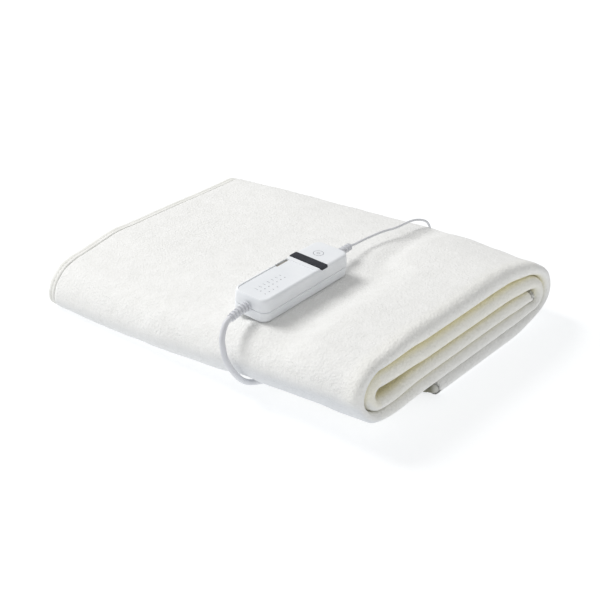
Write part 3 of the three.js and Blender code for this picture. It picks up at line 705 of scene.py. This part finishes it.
def columns_across():
    """Millimetres across from the fold, from the inner ply's open edge to the outer ply's."""
    ply = list(END_STEPS)
    for end, step in COLUMN_STEPS:
        while ply[-1] < end:
            ply.append(ply[-1] + step)
    ply = HALF_WIDTH - np.array(ply)
    bend = np.linspace(-BEND["half"], BEND["half"], BEND["columns"])
    return np.concatenate([-ply, bend, ply[::-1]])


def half_thick(row, share, beyond, across):
    """Half a ply's thickness: full, with a rounded shoulder down to where the tape presses it."""
    from_side = HALF_WIDTH - np.abs(across)
    nearest = np.minimum(from_side, abs(beyond)) if at_cloth_end(row, share) else from_side
    t = np.clip((nearest - SHOULDER_START) / (SHOULDER_END - SHOULDER_START), 0, 1)
    return lerp(PRESSED_PLY, PLY, np.sqrt(1 - (1 - t) ** 2)) / 2


FIRST_OUTER_ROW = 5
FOLD_RUN = 12
INSIDE_RUN = (1, 9)
# How much painted yellowish shade each row takes, between the layers and round the fold; it fades
# out towards the floor.
FOLD_GAP_SHADE = {0: 0.2, 1: 0.4, 2: 0.22, 3: 0.2, 4: 0.22, 5: 0.06, 6: 0.06, 8: 0.2}
GAP_SHADE_HEIGHT = (0.004, 0.05)
# Painted shade on the near turn's underside: cooler and darker on faces turned down.
SHADE = {"facing": (-0.2, 0.5), "near": (0.11, 0.15), "least": 0.45, "full": (-0.05, 0.15)}
WAVES = {"drawn": (30, 7, 16), "fine": 42, "fine_height": 0.35}
LUMPS = {"fine": 95, "height": 0.22, "least": 0.35}


def make_blanket():
    across = columns_across()
    over, under, rows = [], [], []
    for row, share, beyond in places_along():
        half = half_thick(row, share, beyond, across)
        over.append(folded(row, share, beyond, across, half))
        under.append(folded(row, share, beyond, across, -half))
        rows.append(row)
    over, under = np.array(over), np.array(under)
    count, width = over.shape[:2]
    index = np.arange(count * width).reshape(count, width)
    a, b, c, d = index[:-1, :-1], index[:-1, 1:], index[1:, 1:], index[1:, :-1]
    top = np.stack([a, b, c, d], -1).reshape(-1, 4)
    bottom = top[:, ::-1] + count * width
    rim = np.concatenate([index[0], index[1:, -1], index[-1, -2::-1], index[-2:0:-1, 0]])
    after = np.roll(rim, -1)
    sides = np.stack([rim, rim + count * width, after + count * width, after], -1)
    faces = np.concatenate([top, bottom, sides]).tolist()
    outermost = np.zeros((count, width))
    # Painted yellowish shade on all cloth that lies between the layers, and by row round the fold.
    hidden = np.zeros((count, width))
    for i, row in enumerate(rows):
        outer = row >= FIRST_OUTER_ROW
        outermost[i] = smoothstep(across, 0, FOLD_RUN) if outer else 0
        inside = smoothstep(-across if outer else np.abs(across), *INSIDE_RUN)
        hidden[i] = np.maximum(inside, FOLD_GAP_SHADE.get(row, 0) * (across < FOLD_RUN))
    points = np.concatenate([over.reshape(-1, 3), under.reshape(-1, 3)])
    piece = mesh_piece("fleece_blanket", points, faces, FLEECE, "fleece")
    roughen(piece, np.concatenate([outermost.ravel(), np.zeros(count * width)]))
    paint_shades(piece, np.concatenate([hidden.ravel(), np.ones(count * width)]))
    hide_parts("blanket")
    return piece


def vertex_values(items, key):
    values = np.empty(len(items) * 3)
    items.foreach_get(key, values)
    return values.reshape(-1, 3)


def mark(piece, name, values):
    """Keeps a number at each vertex for the piece's material."""
    piece.data.attributes.new(name, "FLOAT", "POINT").data.foreach_set("value", values)


def roughen(piece, outermost):
    """Soft waves and lumps in the nap, more on the outside than between the layers."""
    mesh = piece.data
    normals = vertex_values(mesh.vertex_normals, "vector")
    points = vertex_values(mesh.vertices, "co")
    moved = np.empty(len(points))
    for i, point in enumerate(points):
        here = Vector(point)
        drawn = Vector([a * b for a, b in zip(here, WAVES["drawn"])])
        wave = noise.noise(drawn) + noise.noise(here * WAVES["fine"]) * WAVES["fine_height"]
        lump = noise.noise(here * LUMPS["fine"]) * LUMPS["height"]
        moved[i] = wave * outermost[i] + lump * lerp(LUMPS["least"], 1, outermost[i])
    points += normals * (moved / 1000)[:, None]
    points[:, 2] = np.maximum(points[:, 2], 0)
    mesh.vertices.foreach_set("co", points.ravel())
    mesh.update()


def paint_shades(piece, hidden):
    """Marks the nap's painted shade: yellowish between the layers, cooler and darker on the near
    turn's underside.
    """
    x, y, z = vertex_values(piece.data.vertices, "co").T
    facing = vertex_values(piece.data.vertex_normals, "vector").T[2]
    near = smoothstep(-y, *SHADE["near"]) * lerp(SHADE["least"], 1, smoothstep(x, *SHADE["full"]))
    mark(piece, "painted_gap_shade", hidden * smoothstep(z, *GAP_SHADE_HEIGHT))
    mark(piece, "shade", (1 - hidden) * smoothstep(-facing, *SHADE["facing"]) * near)


blanket = make_blanket()


# ---- the tape

TAPE_HALF = [(8.7, 0.9), (8.7, 1.2), (8.3, 1.9), (7.6, 2.25), (5.2, 2.25), (4.7, 1.8), (4.1, 1.8)]
TAPE_HALF += [(3.6, 2.2), (1.5, 2.0), (-0.4, 1.7), (-1.1, 1.0)]
TAPE_INSIDE = [(-0.3, -1.2), (-0.3, 1.2)]
TAPE_SECTION = TAPE_HALF + [(inset, -off) for inset, off in reversed(TAPE_HALF)] + TAPE_INSIDE
# Where the tape takes painted deep shade, in metres.
NOTCH = {"start": (0.165, 0.185), "end": (0.1955, 0.2035), "top": (0.02, 0.03)}


def tape_stops():
    """Places once round the cloth's edge, each with the way inwards along and across."""
    inside = [(r, s) for r, s, beyond in places_along() if beyond == 0 and not at_cloth_end(r, s)]
    across = columns_across()[1:-1]
    stops = [(0, 0.0, -HALF_WIDTH, 1, 1)]
    stops += [(0, 0.0, v, 1, 0) for v in across]
    stops += [(0, 0.0, HALF_WIDTH, 1, -1)]
    stops += [(r, s, HALF_WIDTH, 0, -1) for r, s in inside]
    stops += [(LAST, 1.0, HALF_WIDTH, -1, -1)]
    stops += [(LAST, 1.0, v, -1, 0) for v in across[::-1]]
    stops += [(LAST, 1.0, -HALF_WIDTH, -1, 1)]
    stops += [(r, s, -HALF_WIDTH, 0, 1) for r, s in inside[::-1]]
    return stops


def make_tape():
    """The binding sewn round the cloth, with painted deep shade where the lowest layer ends."""
    inset, off = np.array(TAPE_SECTION).T
    rings = [
        folded(row, share, inset * along, across + inset * over, off)
        for row, share, across, along, over in tape_stops()
    ]
    points, faces = loft(rings, looped=True)
    piece = mesh_piece("binding_tape", points, faces, TAPE_CLOTH, "tape", sharp=50)
    x, _, z = vertex_values(piece.data.vertices, "co").T
    notch = smoothstep(x, *NOTCH["start"]) * (1 - smoothstep(x, *NOTCH["end"]))
    mark(piece, "shade", notch * (1 - smoothstep(z, *NOTCH["top"])))
    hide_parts("edge_tape")
    return piece


tape = make_tape()

STITCH = {
    "inset": 4.4,
    "off": 1.85,
    "length": 2.6,
    "gap": 1.4,
    "half_width": 0.35,
    "half_height": 0.22,
    "sunk": 0.3,
}
SAMPLES = 60


def edge_places():
    """Row and share along the roll, half a stitch's pitch apart."""
    sample = [(row, i / SAMPLES) for row in range(len(PATH)) for i in range(SAMPLES)]
    x = np.array([0.0])
    points = [[float(v[0]) for v in middle_line(x, row, share)[:2]] for row, share in sample]
    along = np.concatenate([[0], np.cumsum(np.hypot(*np.diff(np.array(points), axis=0).T))])
    pitch = STITCH["length"] + STITCH["gap"]
    flat = np.interp(np.arange(pitch, along[-1] - pitch, pitch / 2), along, np.arange(len(sample)))
    return [(int(v // SAMPLES), v % SAMPLES / SAMPLES) for v in flat]


def make_stitches():
    """Machine stitches along both long edges, on both faces of the cloth."""
    places = edge_places()
    off, half_width = STITCH["off"], STITCH["half_width"]
    offs = np.array([off, off + STITCH["half_height"], off, off - STITCH["sunk"]])
    asides = np.array([half_width, 0, -half_width, 0])
    parts = []
    for side in (-1, 1):
        across = side * (HALF_WIDTH - STITCH["inset"]) + asides
        for face in (-1, 1):
            line = [folded(row, share, 0, across, face * offs) for row, share in places]
            for a, b in zip(line[::2], line[1::2]):
                if np.linalg.norm(b[0] - a[0]) < STITCH["length"]:
                    parts.append(loft([a, b]))
    return mesh_piece("tape_stitches", *joined(parts), THREAD, "tape")


stitches = make_stitches()


# ---- controller

HEIGHT, SEAM = CONTROLLER["height"], CONTROLLER["seam"]
SEAM_GAP = 0.3
SHELL_FACETS, PANEL_FACETS, ROUND_FACETS = 96, 72, 6
CORNER_SPREAD, BOW_POWER = 1.35, 8
SHELL_SHARP = 35
BASE_LEVELS = [(4.0, 0.0), (2.6, 0.15), (1.5, 0.6), (0.8, 1.4), (0.4, 2.6)]
BASE_LEVELS += [(0.0, SEAM - 1), (0.1, SEAM - 0.3), (0.5, SEAM)]
TOP_LEVELS = [(0.5, SEAM + SEAM_GAP), (0.1, SEAM + SEAM_GAP + 0.3), (0.0, SEAM + 1.4)]
TOP_LEVELS += [(0.35, HEIGHT - 6)]
TOP_EDGE, TOP_ROUNDING = 0.6, 2.8
LID_INSETS = (2.0, 5.0, 9.0)
CUT_HEIGHT = 8
WINDOW = {"start": 17.7, "length": 11.3, "depth": 0.9, "rounding": 0.2}
PANEL = {
    "end": 12.6,
    "near": 1.4,
    "half_width": 16.9,
    "corner": 8.5,
    "bow": 1.6,
    "depth": 0.8,
    "slope": 0.5,
}
SLOT = {"x": -16.2, "start": -5, "length": 17.4, "width": 3.4, "depth": 2.6, "rounding": 0.6}


def around(count, start=0.5):
    """Cosine and sine of evenly spaced angles once round."""
    angles = [(i + start) / count * math.tau for i in range(count)]
    return [(math.cos(angle), math.sin(angle)) for angle in angles]


def shell_ring(inset, z):
    """Outline of the shells, drawn in by an inset: rounded corners and bowed ends."""
    half_x = CONTROLLER["width"] / 2 - inset
    half_y = CONTROLLER["length"] / 2 - CONTROLLER["bow"] - inset
    radius = max(CONTROLLER["corner"] - inset / 2, 1)
    ring = []
    for cos, sin in around(SHELL_FACETS):
        turn = math.atan2(abs(sin), abs(cos) * CORNER_SPREAD)
        x = math.copysign(half_x - radius + radius * math.cos(turn), cos)
        y = math.copysign(half_y - radius + radius * math.sin(turn), sin)
        bow = CONTROLLER["bow"] * (1 - (x / half_x) ** 2) * min(abs(y) / half_y, 1) ** BOW_POWER
        ring.append((x, y + math.copysign(bow, sin), z))
    return ring


def rounded_top():
    """Levels of a quarter round from the top shell's side up to its top."""
    turns = [i / ROUND_FACETS * math.pi / 2 for i in range(1, ROUND_FACETS + 1)]
    insets = [TOP_EDGE + TOP_ROUNDING * (1 - math.cos(turn)) for turn in turns]
    return [(a, HEIGHT - TOP_ROUNDING + TOP_ROUNDING * math.sin(t)) for a, t in zip(insets, turns)]


def shell_mesh(name, levels):
    rings = [shell_ring(inset, z) for inset, z in levels]
    last_inset, last_z = levels[-1]
    rings += [shell_ring(last_inset + more, last_z) for more in LID_INSETS]
    points, faces = loft(rings)
    return mesh_piece(name, in_controller(points), faces, SHELL, "shell", sharp=SHELL_SHARP)


def cutting_tool(name, points, faces):
    return linked(name, bare_mesh(name, in_controller(points), faces))


def box_cutter(name, x, width, cut):
    """A box with rounded edges, for cutting the window's seat or the slot."""
    made = bmesh.new()
    bmesh.ops.create_cube(made, size=1)
    bmesh.ops.scale(made, vec=(width, cut["length"], CUT_HEIGHT), verts=made.verts)
    bmesh.ops.bevel(
        made, geom=made.edges[:], offset=cut["rounding"], segments=4, profile=0.5, affect="EDGES"
    )
    middle = np.array([x, cut["start"] + cut["length"] / 2, HEIGHT - cut["depth"] + CUT_HEIGHT / 2])
    points = [np.array(v.co) + middle for v in made.verts]
    faces = [[v.index for v in face.verts] for face in made.faces]
    made.free()
    return cutting_tool(name, points, faces)


def cut(piece, tools):
    """Cuts the tools out of a piece and removes them."""
    for tool in tools:
        change = piece.modifiers.new("cut", "BOOLEAN")
        change.operation = "DIFFERENCE"
        change.solver = "EXACT"
        change.object = tool
    shaped = piece.evaluated_get(bpy.context.evaluated_depsgraph_get())
    mesh = bpy.data.meshes.new_from_object(shaped)
    piece.modifiers.clear()
    piece.data = mesh
    for tool in tools:
        bpy.data.objects.remove(tool)
    mesh.shade_smooth()
    mesh.set_sharp_from_angle(angle=math.radians(SHELL_SHARP))


def panel_ring(inset, z):
    """Outline of the sunken panel: square at its far end, rounded and bowed at its near end."""
    left, right = -PANEL["half_width"] + inset, PANEL["half_width"] - inset
    far = PANEL["end"] - inset
    near = -CONTROLLER["length"] / 2 + PANEL["near"] + inset
    corner = PANEL["corner"]
    ring = [(right, far, z), (left, far, z)]
    for i in range(PANEL_FACETS + 1):
        turn = math.pi * (1 + i / PANEL_FACETS)
        cos, sin = math.cos(turn), math.sin(turn)
        x = (left + corner if cos < 0 else right - corner) + corner * cos
        bow = PANEL["bow"] * (1 - (x / right) ** 2)
        ring.append((x, near + corner + corner * sin - bow * abs(sin), z))
    return ring


def panel_cutter():
    levels = [(PANEL["slope"], HEIGHT - PANEL["depth"]), (0, HEIGHT), (-1, HEIGHT + 2)]
    return cutting_tool("panel_cut", *loft([panel_ring(inset, z) for inset, z in levels]))


def make_controller():
    base = shell_mesh("controller_lower_shell", BASE_LEVELS)
    top = shell_mesh("controller_upper_shell", TOP_LEVELS + rounded_top())
    seat = box_cutter("window_cut", 0, CONTROLLER["width"] * 1.2, WINDOW)
    slot = box_cutter("slot_cut", SLOT["x"], SLOT["width"], SLOT)
    cut(top, [panel_cutter(), seat, slot])
    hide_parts("controller_base")
    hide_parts("controller_top")


make_controller()

PAD_SHARP = 40
STRIP_HALF = ((CONTROLLER["width"] - 1.4) / 2, (WINDOW["length"] - 0.6) / 2)
STRIP_LOW, STRIP_TOP = HEIGHT - 2.4, HEIGHT + 0.25
STRIP_LEVELS = [(0.0, 1.6, STRIP_LOW), (0.0, 1.6, STRIP_TOP - 0.35), (0.1, 1.5, STRIP_TOP - 0.12)]
STRIP_LEVELS += [(0.35, 1.25, STRIP_TOP), (1.2, 0.8, STRIP_TOP + 0.04)]
PAD_GAP, PAD_CORNER = 0.15, 0.6
PAD_HALF = (SLOT["width"] / 2 - PAD_GAP, SLOT["length"] / 2 - PAD_GAP)
PAD_LOW = HEIGHT - SLOT["depth"] - 0.2
PAD_LEVELS = [(0.0, PAD_CORNER, PAD_LOW), (0.0, PAD_CORNER, PAD_LOW + 0.7)]
PAD_LEVELS += [(0.25, PAD_CORNER, PAD_LOW + 0.9), (0.9, PAD_CORNER, PAD_LOW + 1.0)]


def make_pad(name, x, half, seat, levels, facets, material, slot):
    """A pad with rounded corners in a seat of the shell. A level is inset, corner and height."""
    middle = seat["start"] + seat["length"] / 2
    rings = []
    for inset, corner, z in levels:
        ring = []
        for cos, sin in around(facets):
            aside = math.copysign(half[0] - inset - corner, cos) + corner * cos
            along = math.copysign(half[1] - inset - corner, sin) + corner * sin
            ring.append((x + aside, middle + along, z))
        rings.append(ring)
    points, faces = loft(rings)
    return mesh_piece(name, in_controller(points), faces, material, slot, sharp=PAD_SHARP)


strip = make_pad("display_strip", 0, STRIP_HALF, WINDOW, STRIP_LEVELS, 40, WINDOW_GLASS, "window")
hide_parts("display_window")
# A grey-brown pad in the slot, its tone partly painted shade of the recess.
make_pad("slot_pad", SLOT["x"], PAD_HALF, SLOT, PAD_LEVELS, 24, SLOT_GREY_AND_SHADE, "shell")

RING_MARK = {"x": -1.8, "y": 40.6, "radius": 4.9, "half_line": 0.22}
RING_BARS = {"asides": (-1.3, 0, 1.3), "length": 3.6, "width": 0.4}
SETTINGS = {"count": 7, "x": 3.2, "y": -49.0, "pitch": 5.6, "dot": 1.0}
BAR = {"aside": 5.5, "length": 4.0, "shrink": 0.2, "width": 0.4}
TICK = {"count": 4, "aside": 6.2, "down": 1.2, "length": 1.4, "width": 0.7}
BAR_SHARES = ((-1, 0.5), (-0.8, 1), (0.8, 1), (1, 0.5))
PRINT_HEIGHT, PRINT_DEPTH = 0.02, 0.2
RING_SWELL, BAR_SWELL = 0.06, 0.05


def flat_ring(centre, radius, half_line, z):
    """A thin printed ring, as a tube pressed flat."""
    rings = []
    for cos, sin in around(48, 0):
        way = np.array([cos, sin, 0])
        middle = np.array([*centre, z]) + way * radius
        section = [(half_line, 0), (0, RING_SWELL), (-half_line, 0), (0, -PRINT_DEPTH)]
        rings.append([middle + way * across + np.array([0, 0, up]) for across, up in section])
    return loft(rings, looped=True)


def flat_bar(centre, length, width, heading, z):
    """A short printed bar with a faint swell."""
    angle = math.radians(heading)
    along = np.array([math.cos(angle), math.sin(angle), 0])
    aside = np.array([-math.sin(angle), math.cos(angle), 0])
    rings = []
    for share, narrowed in BAR_SHARES:
        half = width / 2 * narrowed
        middle = np.array([*centre, z]) + along * share * length / 2
        above, below = middle + np.array([0, 0, BAR_SWELL]), middle - np.array([0, 0, PRINT_DEPTH])
        rings.append([middle + aside * half, above, middle - aside * half, below])
    return loft(rings)


def make_marks():
    """Generic printed marks: a ring with three short bars, and the settings' dots and bars."""
    top = HEIGHT + PRINT_HEIGHT
    ring = (RING_MARK["x"], RING_MARK["y"])
    parts = [flat_ring(ring, RING_MARK["radius"], RING_MARK["half_line"], top)]
    for aside in RING_BARS["asides"]:
        centre = (ring[0] + aside, ring[1])
        parts.append(flat_bar(centre, RING_BARS["length"], RING_BARS["width"], 90, top))
    low = HEIGHT - PANEL["depth"] + PRINT_HEIGHT
    for i in range(SETTINGS["count"]):
        x, y = SETTINGS["x"], SETTINGS["y"] + i * SETTINGS["pitch"]
        parts.append(flat_bar((x, y), SETTINGS["dot"], SETTINGS["dot"], 0, low))
        length = BAR["length"] - BAR["shrink"] * i
        parts.append(flat_bar((x - BAR["aside"], y), length, BAR["width"], 0, low))
        if i < TICK["count"]:
            centre = (x + TICK["aside"], y - TICK["down"])
            parts.append(flat_bar(centre, TICK["length"], TICK["width"], 0, low))
    points, faces = joined(parts)
    mesh_piece("printed_marks", in_controller(points), faces, MARK, "shell")


make_marks()


# ---- strain reliefs and plug

RELIEF_HEIGHT = 12.8
RELIEF_GAP = 0.3
RELIEF_SHARP = 40
MAINS_RELIEF = {"length": 22, "root": 9.4, "tip": 7.6, "ribs": 6, "droop": 14, "turn": 0}
LEAD_RELIEF = {"length": 26, "root": 8.0, "tip": 7.6, "ribs": 5, "droop": 6, "turn": -7}
PLUG_RELIEF = {"length": 20, "root": 10, "tip": 7, "ribs": 5, "droop": 0, "turn": 0}
RIB = {"steps": 10, "start": 0.44, "end": 0.96, "groove": 0.56, "plain": 0.97, "lip": 0.96}
RELIEF_FACETS = 24


def relief_points(relief):
    """A ribbed sleeve that grows along Y from the origin, droops and turns aside."""
    rings = []
    steps = relief["ribs"] * RIB["steps"]
    circle = np.array([(cos, 0, sin) for cos, sin in around(RELIEF_FACETS)])
    for i in range(steps + 1):
        share = i / steps
        wave = (share * relief["ribs"]) % 1
        grooved = RIB["start"] < wave < RIB["end"] and share < RIB["plain"]
        radius = lerp(relief["root"], relief["tip"], share) / 2
        radius *= (RIB["groove"] if grooved else 1.0) * (RIB["lip"] if i in (0, steps) else 1.0)
        down, aside = (math.radians(relief[key]) * share for key in ("droop", "turn"))
        forward = math.cos(aside / 2) * math.cos(down / 2)
        way = np.array([math.sin(aside / 2), forward, -math.sin(down / 2)])
        turn = np.array(Matrix.Rotation(-down, 3, "X") @ Matrix.Rotation(-aside, 3, "Z"))
        rings.append((circle * radius) @ turn.T + way * relief["length"] * share)
    return loft(rings)


def shell_relief(name, relief, side, node):
    points, faces = relief_points(relief)
    points = np.array(points)
    if side < 0:
        points[:, :2] *= -1
    points += np.array([0, side * (CONTROLLER["length"] / 2 + RELIEF_GAP), RELIEF_HEIGHT])
    piece = mesh_piece(name, in_controller(points), faces, CORD, "cord", sharp=RELIEF_SHARP)
    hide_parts(node)


shell_relief("mains_sleeve", MAINS_RELIEF, -1, "mains_relief")
shell_relief("lead_sleeve", LEAD_RELIEF, 1, "lead_relief")

PLUG = {"x": -30, "y": 203.9, "z": 6.85, "heading": 210}
PLUG_SHAPE = [(0.0, 14.0, 9.8), (0.6, 15.0, 10.5), (4, 20, 12), (8, 26.5, 13.2), (12, 31, 13.7)]
PLUG_SHAPE += [(18, 35.3, 13.7), (34.2, 35.3, 13.7), (35.4, 34.9, 13.3), (36, 33.5, 12.4)]
PLUG_FACETS, PLUG_SQUARENESS = 48, 0.6


def in_plug(points):
    turn = np.array(Matrix.Rotation(math.radians(PLUG["heading"] - 90), 3, "Z"))
    return np.asarray(points, float) @ turn.T + np.array([PLUG["x"], PLUG["y"], PLUG["z"]])


def make_plug():
    """The plug's body and its sleeve. Its pins stay the part's own."""
    rings = []
    for along, width, height in PLUG_SHAPE:
        ring = []
        for cos, sin in around(PLUG_FACETS):
            x = math.copysign(width / 2 - height / 2, cos) + height / 2 * cos
            z = height / 2 * math.copysign(abs(sin) ** PLUG_SQUARENESS, sin)
            ring.append((x, along, z))
        rings.append(ring)
    points, faces = loft(rings)
    body = mesh_piece("plug_housing", in_plug(points), faces, SHELL, "shell", sharp=30)
    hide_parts("plug_body")
    points, faces = relief_points(PLUG_RELIEF)
    points = np.array(points) * np.array([-1, -1, 1]) + np.array([0, -RELIEF_GAP, 0])
    sleeve = mesh_piece("plug_sleeve", in_plug(points), faces, CORD, "cord", sharp=RELIEF_SHARP)
    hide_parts("plug_relief")
    return [body, sleeve]


plug_pieces = make_plug()
looks = {"plug_pin_1": NICKEL, "plug_pin_2": NICKEL, "coil_tie": TIE_PLASTIC}
for node_name, material in looks.items():
    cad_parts[node_name].data.materials.clear()
    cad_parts[node_name].data.materials.append(material)


# ---- studio, in metres

FLOOR_HALF = 25
GLOW, GLOW_COLOUR = 0.75, (0.97, 0.985, 1.0)
# Where the floor's glow is left out, as painted shade under the cloth.
COVERED = {"X": (0.01, 0.16), "Y": (0.018, 0.12), "fade": 0.014}
KEY = {
    "place": (-1.95, -0.55, 2.55),
    "aim": (0, 0, 0.04),
    "size": 1.5,
    "power": 71.5,
    "colour": (1.0, 0.995, 0.99),
}
WORLD_LIGHT = 0.50


def add_floor():
    """A pale floor that glows a little, with the glow left out where the cloth lies on it as
    painted shade.
    """
    mesh = bpy.data.meshes.new("floor")
    corners = [(-1, -1), (1, -1), (1, 1), (-1, 1)]
    points = [(FLOOR_HALF * x, FLOOR_HALF * y, 0) for x, y in corners]
    mesh.from_pydata(points, [], [(0, 1, 2, 3)])
    floor = linked("floor", mesh)
    nodes = Nodes("floor", (0.36, 0.36, 0.36), 0.9, Specular_IOR_Level=0.1)
    nodes.colour(nodes.mix(nodes.noise(3, 2, 0.55), (0.35, 0.35, 0.35), (0.37, 0.37, 0.37)))
    nodes.shader.inputs["Emission Color"].default_value = (*GLOW_COLOUR, 1)
    split = nodes.add("ShaderNodeSeparateXYZ", Vector=nodes.places())
    outside = []
    for axis in "XY":
        middle, half = COVERED[axis]
        away = nodes.math("ABSOLUTE", nodes.math("SUBTRACT", split.outputs[axis], middle), 0.0)
        outside.append(nodes.math("SUBTRACT", away, half))
    glow = nodes.ramp(nodes.math("MAXIMUM", *outside), 0, COVERED["fade"], 0, GLOW)
    nodes.feed(nodes.shader.inputs["Emission Strength"], glow)
    mesh.materials.append(nodes.material)


def add_light():
    data = bpy.data.lights.new("key", "AREA")
    data.shape = "DISK"
    data.size = KEY["size"]
    data.energy = KEY["power"]
    data.color = KEY["colour"]
    light = linked("key", data)
    light.location = KEY["place"]
    towards = Vector(KEY["aim"]) - Vector(KEY["place"])
    light.rotation_euler = towards.to_track_quat("-Z", "Y").to_euler()


def add_world():
    world = bpy.data.worlds.new("studio")
    world.use_nodes = True
    background = world.node_tree.nodes["Background"]
    background.inputs["Color"].default_value = (1.0, 1.0, 1.0, 1)
    background.inputs["Strength"].default_value = WORLD_LIGHT
    bpy.context.scene.world = world


add_floor()
add_world()
add_light()
bpy.context.scene.view_settings.view_transform = "Standard"
